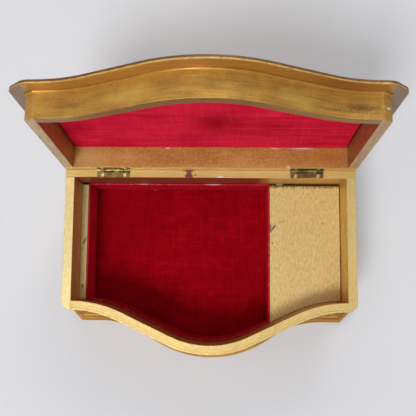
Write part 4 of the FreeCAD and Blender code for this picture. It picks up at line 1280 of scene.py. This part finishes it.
@dataclass
class Lid(Assembly):
    """The lid: its rails, its board and the bead between them."""

    CHIP_AND_HIGHLIGHT: ClassVar[Tone] = Tone(246, 234, 224)
    RUBBED: ClassVar[Tone] = Tone(232, 196, 134)
    BROWN: ClassVar[Tone] = Tone(104, 66, 26)
    PALE: ClassVar[Tone] = Tone(226, 190, 92)
    PAINTED_SHADE_GREY: ClassVar[Tone] = Tone(134, 110, 84)
    # The rail's level closing face is dark brown, as painted shade.
    front_gold: Gilt = Gilt(
        "lid_front_gold", flat=Tone(150, 112, 68), stood=Tone(212, 158, 62),
        front=Tone(212, 163, 66), way=Way.FRONT, home=Home.LID, blotch=0.6, speck=0.45, scuff=0.12,
        marks=(
            Mark((92, -52, 86.4), (19, 8, 4.4), BROWN, 0.85, 0.9, 1.7),
            Mark((74, -56.5, 83.4), (28, 9, 0.9), BROWN, 0.55, 0.8, 0.6),
            Mark((60, -61, 88.6), (16, 9, 1), BROWN, 0.35, 0.8, 0.6),
            Mark((-78, -53, 86.6), (15, 8, 2.6), BROWN, 0.45, 0.9, 0.9),
            Mark((-56, -62, 90.4), (18, 9, 2), BROWN, 0.4, 0.9, 0.8),
            Mark((2, -82.9, 86.4), (13, 8, 4.6), BROWN, 0.4, 0.9, 0.8),
            Mark((26, -79, 88), (10, 9, 3.4), BROWN, 0.3, 0.9, 0.8),
            # This pale mark is a painted highlight near the bead.
            Mark((-46, -68, 87), (28, 12, 7), PALE, 0.5, 0.9, 0.7),
            Mark((50, -66, 86), (20, 12, 7), PALE, 0.4, 0.9, 0.7),
        ),
    )
    # The side rails' level closing faces are grey-tan, as a painted reflection.
    left_gold: Gilt = Gilt(
        "lid_left_gold", flat=Tone(194, 170, 134), stood=Tone(184, 130, 66),
        way=Way.DEPTH, home=Home.LID, speck=0.5, scuff=0.25, stretch=0.12,
        # This pale mark is a painted highlight on the right rail's canted front, which the right
        # rail's copy of this finish carries.
        marks=(Mark((108.6, -48.8, 87.2), (2.2, 3, 0.9), CHIP_AND_HIGHLIGHT, 0.95, 0.6, 0.4),),
    )
    # The right rail is the left rail's gold made darker, as painted shade.
    right_gold: Gilt = replace(
        left_gold, name="lid_right_gold", flat=Tone(184, 152, 116), stood=Tone(160, 108, 62)
    )
    back_gold: Gilt = Gilt(
        "lid_back_gold", flat=Tone(226, 186, 112), stood=Tone(222, 180, 124),
        front=Tone(202, 160, 84), deep=Tone(160, 100, 42), bright=Tone(240, 204, 130),
        home=Home.LID, lines=0.5, fine=1000.0, stretch=0.12, scuff=0.5, speck=0.6,
        marks=(
            Mark((0, 50.1, 79.3), (150, 3, 4.4), Tone(222, 184, 108), 0.4, 0.9, 0.2),
            Mark((-92, 50.1, 87), (22, 3, 12), Tone(232, 204, 130), 0.6, 0.9, 0.9),
            Mark((-62, 50.1, 88), (15, 3, 6), RUBBED, 0.4, 0.9, 0.8),
            Mark((24, 50.1, 84), (13, 3, 6), RUBBED, 0.3, 0.9, 0.8),
            Mark((88, 50.1, 88), (28, 3, 9), Tone(184, 106, 40), 0.5, 0.9, 0.9),
            Mark((59.2, 51, 80.4), (1.9, 6, 1.5), CHIP_AND_HIGHLIGHT, 0.8, 0.6, 1.3),
            Mark((-32.5, 50.2, 94.9), (2.4, 2, 0.7), CHIP_AND_HIGHLIGHT, 0.8, 0.6, 0.6),
            Mark((49, 50.2, 95), (4.5, 2, 0.6), CHIP_AND_HIGHLIGHT, 0.7, 0.6, 0.8),
            Mark((70, 50.2, 95), (11, 2, 0.7), CHIP_AND_HIGHLIGHT, 0.8, 0.6, 0.8),
        ),
    )
    board_gold: EdgedBoard = EdgedBoard(
        "lid_board_gold", flat=Tone(194, 138, 62), stood=Tone(206, 146, 58),
        bright=Tone(232, 190, 96), home=Home.LID, speck=0.45, lines=0.5,
        marks=(
            Mark((80, -64, FORM.lid_under), (46, 28, 0.8), Tone(142, 88, 38), 0.75, 0.9),
            Mark((0, -92, FORM.lid_under), (52, 10, 0.8), Tone(158, 118, 66), 0.6, 0.9),
            # Painted shade on the board's underside at its two ends.
            Mark((-118.5, -40, FORM.lid_under), (9, 60, 0.8), PAINTED_SHADE_GREY, 0.95, 0.3, 0.4),
            Mark((118.5, -40, FORM.lid_under), (9, 60, 0.8), PAINTED_SHADE_GREY, 0.95, 0.3, 0.4),
        ),
    )
    bead_gold: Gilt = Gilt(
        "lid_bead_gold", flat=Tone(222, 180, 98), stood=Tone(220, 176, 92),
        deep=Tone(160, 108, 44), way=Way.FRONT, home=Home.LID,
        metal=0.6, roughness=0.26, blotch=0.6,
    )
    coats: Coats = (
        (front_gold, ("lid_front_rail",)),
        (left_gold, ("lid_left_rail",)),
        (right_gold, ("lid_right_rail",)),
        (back_gold, ("lid_back_rail",)),
        (board_gold, ("lid_top_board",)),
        (bead_gold, ("lid_bead",)),
    )


@dataclass(frozen=True)
class WornCorner:
    """A corner on both sides of the box, in millimetres, and how far it is cut back."""

    out: float
    depth: float
    cut: float
    near: float = 0.1

    def holds(self, point: bmesh.types.BMVert) -> bool:
        """Tells whether a point lies at the corner, on either side."""
        off = math.hypot(abs(point.co.x) - self.out * MM, point.co.y - self.depth * MM)
        return off < self.near * MM


@dataclass
class WornBoards(Assembly):
    """Boards whose front corners are rounded, in the finishes that they were given."""

    wall_corners: tuple[WornCorner, ...] = (
        WornCorner(111.0, -47.49, 2.8),
        WornCorner(105.8, -50.69, 1.4),
    )
    board_corners: tuple[WornCorner, ...] = (
        WornCorner(121.4, -50.19, 2.0),
        WornCorner(110.17, -61.09, 4.0),
    )
    board_edge: float = 0.8
    segments: int = 5
    sharp: float = 30.0
    level: float = 0.01

    def build(self) -> None:
        """Makes the end walls of the case and the board of the lid."""
        for node in ("left_wall", "right_wall"):
            shape = self.copy(node)
            for corner in self.wall_corners:
                stood = [edge for edge in shape.edges if all(map(corner.holds, edge.verts))]
                round_off(shape, stood, corner.cut, self.segments)
            self._finish(shape, node, "gilt_wood")
        self._finish(self._board("lid_top_board"), "lid_top_board", "gilt_moulding")

    def _board(self, node: str) -> bmesh.types.BMesh:
        """Makes the lid's board from the outline of its underside.

        Args:
            node: the CAD node that the board stands for.

        Returns:
            The board, along the axes of the shut lid.
        """
        solid = self.copy(node)
        under = min(solid.faces, key=lambda face: face.normal.z * face.calc_area())
        shape = bmesh.new()
        shape.faces.new([shape.verts.new(point.co) for point in under.verts])
        solid.free()
        for corner in self.board_corners:
            tips = [point for point in shape.verts if corner.holds(point)]
            round_off(shape, tips, corner.cut, self.segments, Cut.POINTS)
        raised = bmesh.ops.extrude_face_region(shape, geom=shape.faces[:])["geom"]
        lifted = [item for item in raised if isinstance(item, bmesh.types.BMVert)]
        bmesh.ops.translate(shape, vec=(0.0, 0.0, FORM.lid_board * MM), verts=lifted)
        bmesh.ops.recalc_face_normals(shape, faces=shape.faces)
        top = max(point.co.z for point in shape.verts) - self.level * MM
        rim = [edge for edge in shape.edges if all(point.co.z > top for point in edge.verts)]
        round_off(shape, rim, self.board_edge, self.segments)
        return shape

    def _finish(self, shape: bmesh.types.BMesh, node: str, slot: str) -> None:
        """Makes a rounded board a piece in its CAD node's finish.

        Args:
            shape: the board, which is freed.
            node: the CAD node that it stands for.
            slot: the record's finish.
        """
        surface = self.frame["nodes"][node].material_slots[0].material
        piece = self.stand_in(f"{node}_rounded", shape, node, slot, surface)
        piece.data.set_sharp_from_angle(angle=math.radians(self.sharp))


@dataclass(frozen=True)
class LinedCard:
    """A velvet-covered card: its CAD node, its piece, its finish and what it lies on.

    Its reach is how far its edges are pushed out, against the linings beside it.
    """

    node: str
    piece: str
    slot: str
    under: str
    lie: Lie
    reach: float = 0.0


@dataclass
class Linings(Assembly):
    """The velvet-covered cards of the tray and of the lid."""

    round_edge: float = 0.45
    segments: int = 3
    sharp: float = 40.0
    cell: float = 5.0
    dimple: float = 0.16
    dimple_mean: float = 0.75
    dimple_swell: float = 0.5
    swells: Span = (55.0, 160.0)
    small_swell: float = 0.5
    FRAY: ClassVar[Tone] = Tone(226, 190, 186)
    CRUSHED: ClassVar[Tone] = Tone(142, 1, 18)
    GAP_SHADE: ClassVar[Tone] = Tone(70, 4, 10)
    # The three velvets are one cloth: the tray floor's is darker as painted shade and the lid's
    # lighter as painted light.
    floor_velvet: Velvet = Velvet(
        "tray_floor_pile", ground=Tone(164, 3, 20), crushed=Tone(124, 0, 10), nap=Tone(184, 9, 32),
        streak=(160.0, 160.0, 160.0), streaks=0.4, threads=0.55,
        marks=(Mark((-75, 30, 20), (60, 40, 20), Tone(140, 1, 13), 0.6, 0.95, 0.2),),
    )
    wall_velvet: Velvet = Velvet(
        "tray_wall_pile", ground=Tone(196, 14, 42), crushed=Tone(160, 6, 26), nap=Tone(214, 30, 60),
        streak=(120.0, 120.0, 60.0), streaks=0.35, edge_height=FORM.ledge,
        marks=(
            # This lighter band on the left liner is painted light.
            Mark((-98, -4, 34), (4, 70, 24), Tone(232, 40, 74), 0.7, 0.3, 0.2),
            Mark((-54, 49.8, FORM.ledge), (4.6, 3, 0.8), FRAY, 0.55, 0.6, 1.3),
            Mark((2.5, 49.8, FORM.ledge), (7.5, 3, 0.8), FRAY, 0.6, 0.6, 1.3),
            Mark((-47.5, 48.4, 22), (1.6, 2, 1.6), FRAY, 0.7, 0.7, 0.8),
        ),
    )
    lid_velvet: Velvet = Velvet(
        "lid_pile", ground=Tone(222, 32, 64), crushed=Tone(170, 4, 28), nap=Tone(234, 50, 84),
        streaks=0.5, home=Home.LID,
        marks=(
            Mark((5, -2, FORM.lid_velvet), (22, 28, 6), CRUSHED, 0.8, 0.95, 1.2),
            Mark((15, -8, FORM.lid_velvet), (0.5, 9, 6), Tone(214, 74, 92), 0.4, 0.8, 0.9, 12),
            # The dark lines along the lining's two sides are painted shade in the gaps beside the
            # rails.
            Mark((-103.7, 0, FORM.lid_velvet), (1.2, 70, 6), GAP_SHADE, 0.85, 0.5, 0.4),
            Mark((103.7, 0, FORM.lid_velvet), (1.5, 70, 6), GAP_SHADE, 0.9, 0.5, 0.4),
            Mark((68, 22, FORM.lid_velvet), (15, 1.1, 6), CRUSHED, 0.7, 0.8, 0.5),
            Mark((44, 23, FORM.lid_velvet), (14, 1, 6), CRUSHED, 0.45, 0.8, 0.5),
            Mark((48, 3, FORM.lid_velvet), (18, 1.2, 6), CRUSHED, 0.6, 0.8, 0.5),
            Mark((-34, 0, FORM.lid_velvet), (14, 1, 6), CRUSHED, 0.45, 0.8, 0.5),
            Mark((-84, 27, FORM.lid_velvet), (9, 1.6, 6), CRUSHED, 0.6, 0.9, 0.6, 8),
            Mark((-92, 6, FORM.lid_velvet), (14, 22, 6), CRUSHED, 0.6, 0.95, 0.8),
        ),
    )
    floor_card: LinedCard = LinedCard(
        "tray_floor", "tray_velvet_floor", "tray_velvet", "bottom_board", Lie.FLAT, 0.55
    )
    wall_cards: tuple[LinedCard, ...] = tuple(
        LinedCard(node, f"{node}_velvet", "tray_velvet", "bottom_board", Lie.STANDING)
        for node in ("tray_front_liner", "tray_left_liner", "tray_right_liner", "tray_back_liner")
    )
    lid_card: LinedCard = LinedCard(
        "lid_lining", "lid_velvet_lining", "lid_velvet", "lid_top_board", Lie.FLAT
    )

    def build(self) -> None:
        """Makes and dresses every lining."""
        lined = (
            (self.floor_velvet, (self.floor_card,)),
            (self.wall_velvet, self.wall_cards),
            (self.lid_velvet, (self.lid_card,)),
        )
        for velvet, cards in lined:
            surface = velvet.dress(self.effects)
            for card in cards:
                self._wrap(card, surface)

    def _wrap(self, card: LinedCard, surface: bpy.types.Material) -> None:
        """Makes a lining with rounded edges and a slightly uneven face.

        Args:
            card: the card that it covers.
            surface: its velvet.
        """
        shape = self.copy(card.node)
        sharp = [
            edge for edge in shape.edges if edge.calc_face_angle(0.0) > math.radians(self.sharp)
        ]
        round_off(shape, sharp, self.round_edge, self.segments)
        self._quilt(shape)
        shape.normal_update()
        large, small = self.swells
        for point in shape.verts:
            swell = noise.noise(point.co * large) + self.small_swell * noise.noise(point.co * small)
            side = Vector((point.normal.x, point.normal.y, 0.0))
            sunk = self.dimple * MM * (self.dimple_mean + self.dimple_swell * swell)
            point.co += side * card.reach * MM - point.normal * sunk
        bmesh.ops.recalc_face_normals(shape, faces=shape.faces)
        piece = self.stand_in(card.piece, shape, card.node, card.slot, surface)

    def _quilt(self, shape: bmesh.types.BMesh) -> None:
        """Cuts a lining into small cells, so that its face can swell.

        Args:
            shape: the lining, which is changed.
        """
        for axis in range(3):
            steps = [point.co[axis] for point in shape.verts]
            low, high = min(steps), max(steps)
            count = int((high - low) / (self.cell * MM))
            way = Vector(NOWHERE)
            way[axis] = 1.0
            for number in range(1, count):
                at = way * (low + (high - low) * number / count)
                geometry = shape.verts[:] + shape.edges[:] + shape.faces[:]
                bmesh.ops.bisect_plane(shape, geom=geometry, dist=MERGED, plane_co=at, plane_no=way)

    @staticmethod
    def _flat_cut(piece: bpy.types.Object, lie: Lie) -> Triple:
        """Measures a lining laid out flat, from one of its two faces.

        Args:
            piece: the lining.
            lie: how its card lies in the box.

        Returns:
            Its two sides and its area. The first side of a standing one is its height.
        """
        corners = [Vector(corner) for corner in piece.bound_box]
        spans = [max(c[axis] for c in corners) - min(c[axis] for c in corners) for axis in range(3)]
        area = sum(face.area for face in piece.data.polygons) / 2
        if lie is Lie.STANDING:
            return spans[2], area / spans[2], area
        *thin, width = sorted(spans)
        length = math.hypot(*thin)
        return width, length, min(area, width * length)


@dataclass
class Fittings(Assembly):
    """The hinges, nails and screws, and the musical movement."""

    case_leaf: Metal = Metal(
        "case_leaf_brass", Tone(168, 146, 88), Tone(104, 92, 54), Tone(52, 44, 28), 0.9
    )
    # The lid's leaf is the case leaf's brass made darker, as painted shade.
    lid_leaf: Metal = Metal(
        "lid_leaf_brass", Tone(128, 104, 60), Tone(72, 58, 34), Tone(36, 28, 18), 0.9
    )
    screw: Metal = Metal(
        "bright_screw_brass", Tone(240, 220, 160), Tone(190, 166, 104), Tone(90, 72, 40), 0.4
    )
    nail: Metal = Metal("nail_steel", Tone(92, 72, 62), Tone(60, 46, 40), Tone(34, 26, 24), 0.7)
    brass: Metal = Metal(
        "lacquered_brass", Tone(214, 176, 96), Tone(178, 140, 72), Tone(110, 80, 40), 0.4
    )
    iron: Metal = Metal(
        "plate_iron", Tone(150, 150, 152), Tone(112, 112, 116), Tone(70, 70, 72), 0.5, (0.4, 0.6)
    )
    steel: Metal = Metal(
        "bright_steel", Tone(198, 198, 202), Tone(158, 158, 164), Tone(96, 94, 92), 0.4
    )
    polish: Metal = Metal(
        "polished_steel", Tone(232, 232, 240), Tone(196, 198, 208), Tone(120, 118, 120),
        0.3, (0.15, 0.3),
    )
    ivory: Metal = Metal(
        "ivory_plastic", Tone(206, 200, 184), Tone(190, 182, 164), Tone(150, 140, 120),
        0.4, shine=0.0,
    )
    coats: Coats = (
        (case_leaf, ("hinge_leaf_case_left", "hinge_leaf_case_right")),
        (lid_leaf, ("hinge_leaf_lid_left", "hinge_leaf_lid_right")),
        (screw, ("hinge_screws_case", "hinge_screws_lid")),
        (nail, ("hinge_pin_left", "hinge_pin_right", "brads")),
        (
            brass,
            (
                "tune_cylinder", "cylinder_gear", "crown_wheel",
                "spring_barrel", "governor_wheel", "governor_frame",
            ),
        ),
        (iron, ("bedplate", "comb_base", "cylinder_bearing_front", "cylinder_bearing_rear")),
        (
            steel,
            (
                "tone_comb", "cylinder_arbor", "cylinder_pinion", "governor_pinion",
                "governor_worm", "winding_arbor", "mainspring", "comb_screws",
                "movement_screws", "stop_screw", "winding_key",
            ),
        ),
        (polish, ("stop_lever",)),
        (ivory, ("governor_fan",)),
    )


@dataclass(frozen=True)
class Lamp:
    """A square lamp: its place and its side in metres, and its power in watts."""

    name: str
    place: Triple
    power: float
    side: float


@dataclass
class Studio:
    """The pale floor, the soft lamps and the photo's camera.

    The camera's eye is in millimetres and its angles are in radians.
    """

    effects: Effects
    paper: Paper = Paper("floor_paper")
    floor_side: float = 6.0
    sky: float = 0.3
    sky_colour: tuple[float, float, float, float] = (0.96, 0.98, 1.0, 1.0)
    lamps: tuple[Lamp, ...] = (
        Lamp("key_lamp", (-0.34, -0.68, 1.45), 13.4, 0.45),
        Lamp("ceiling_lamp", (-0.5, -0.1, 1.6), 3.0, 1.0),
        Lamp("front_lamp", (-0.1, -1.3, 0.7), 3.0, 1.0),
        Lamp("back_lamp", (0.25, 1.5, 1.0), 14.0, 1.2),
    )
    aim: Triple = (0.0, 0.0, 0.05)
    lens: float = 52.97
    sensor: float = 36.0
    nearest: float = 0.01
    eye: Triple = (8.463, -24.839, 542.10)
    tilt: float = 0.1132
    roll: float = 0.1787
    yaw: float = -0.1865

    def build(self) -> None:
        """Makes the floor, the world, the lamps and the camera."""
        self._floor()
        self._world()
        for lamp in self.lamps:
            self._lamp(lamp)
        self._camera()
        bpy.context.scene.view_settings.view_transform = "Standard"

    def _floor(self) -> None:
        """Makes the floor."""
        shape = bmesh.new()
        bmesh.ops.create_grid(shape, x_segments=1, y_segments=1, size=self.floor_side / 2)
        floor = new_object("floor", shape, self.paper.dress(self.effects))

    def _world(self) -> None:
        """Makes the even light of the room."""
        world = bpy.data.worlds.new("room")
        world.use_nodes = True
        bpy.context.scene.world = world
        light = {"Color": self.sky_colour, "Strength": self.sky}
        Graph(world.node_tree).fill(world.node_tree.nodes["Background"], light)

    def _lamp(self, lamp: Lamp) -> None:
        """Makes a square lamp that points at the box.

        Args:
            lamp: the lamp.
        """
        data = bpy.data.lights.new(lamp.name, "AREA")
        data.energy = lamp.power
        data.size = lamp.side
        made = bpy.data.objects.new(lamp.name, data)
        beam = Vector(self.aim) - Vector(lamp.place)
        turn = beam.to_track_quat("-Z", "Y").to_matrix().to_4x4()
        made.matrix_world = Matrix.Translation(Vector(lamp.place)) @ turn
        bpy.context.scene.collection.objects.link(made)

    def _camera(self) -> None:
        """Makes the camera that took the photo."""
        data = bpy.data.cameras.new("photo_camera")
        data.lens = self.lens
        data.sensor_width = self.sensor
        data.clip_start = self.nearest
        turn = Matrix.Rotation(-self.yaw, 3, "Z")
        rise = Vector((0.0, math.cos(self.tilt), math.sin(self.tilt)))
        look = Vector((0.0, math.sin(self.tilt), -math.cos(self.tilt)))
        side = Vector((1.0, 0.0, 0.0))
        right = turn @ (math.cos(self.roll) * side - math.sin(self.roll) * rise)
        up = turn @ (math.sin(self.roll) * side + math.cos(self.roll) * rise)
        axes = Matrix((right, up, -(turn @ look))).transposed().to_4x4()
        camera = bpy.data.objects.new("photo_camera", data)
        camera.matrix_world = Matrix.Translation(Vector(self.eye) * MM) @ axes
        bpy.context.scene.collection.objects.link(camera)
        bpy.context.scene.camera = camera


def main() -> None:
    """Builds the dressed box and its studio."""
    logging.basicConfig(level=logging.INFO, format="%(name)s: %(message)s")
    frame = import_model()
    effects = Effects()
    Case(frame, effects).dress()
    Lid(frame, effects).dress()
    WornBoards(frame, effects).build()
    Linings(frame, effects).build()
    Fittings(frame, effects).dress()
    Studio(effects).build()


if __name__ == "__main__":
    main()
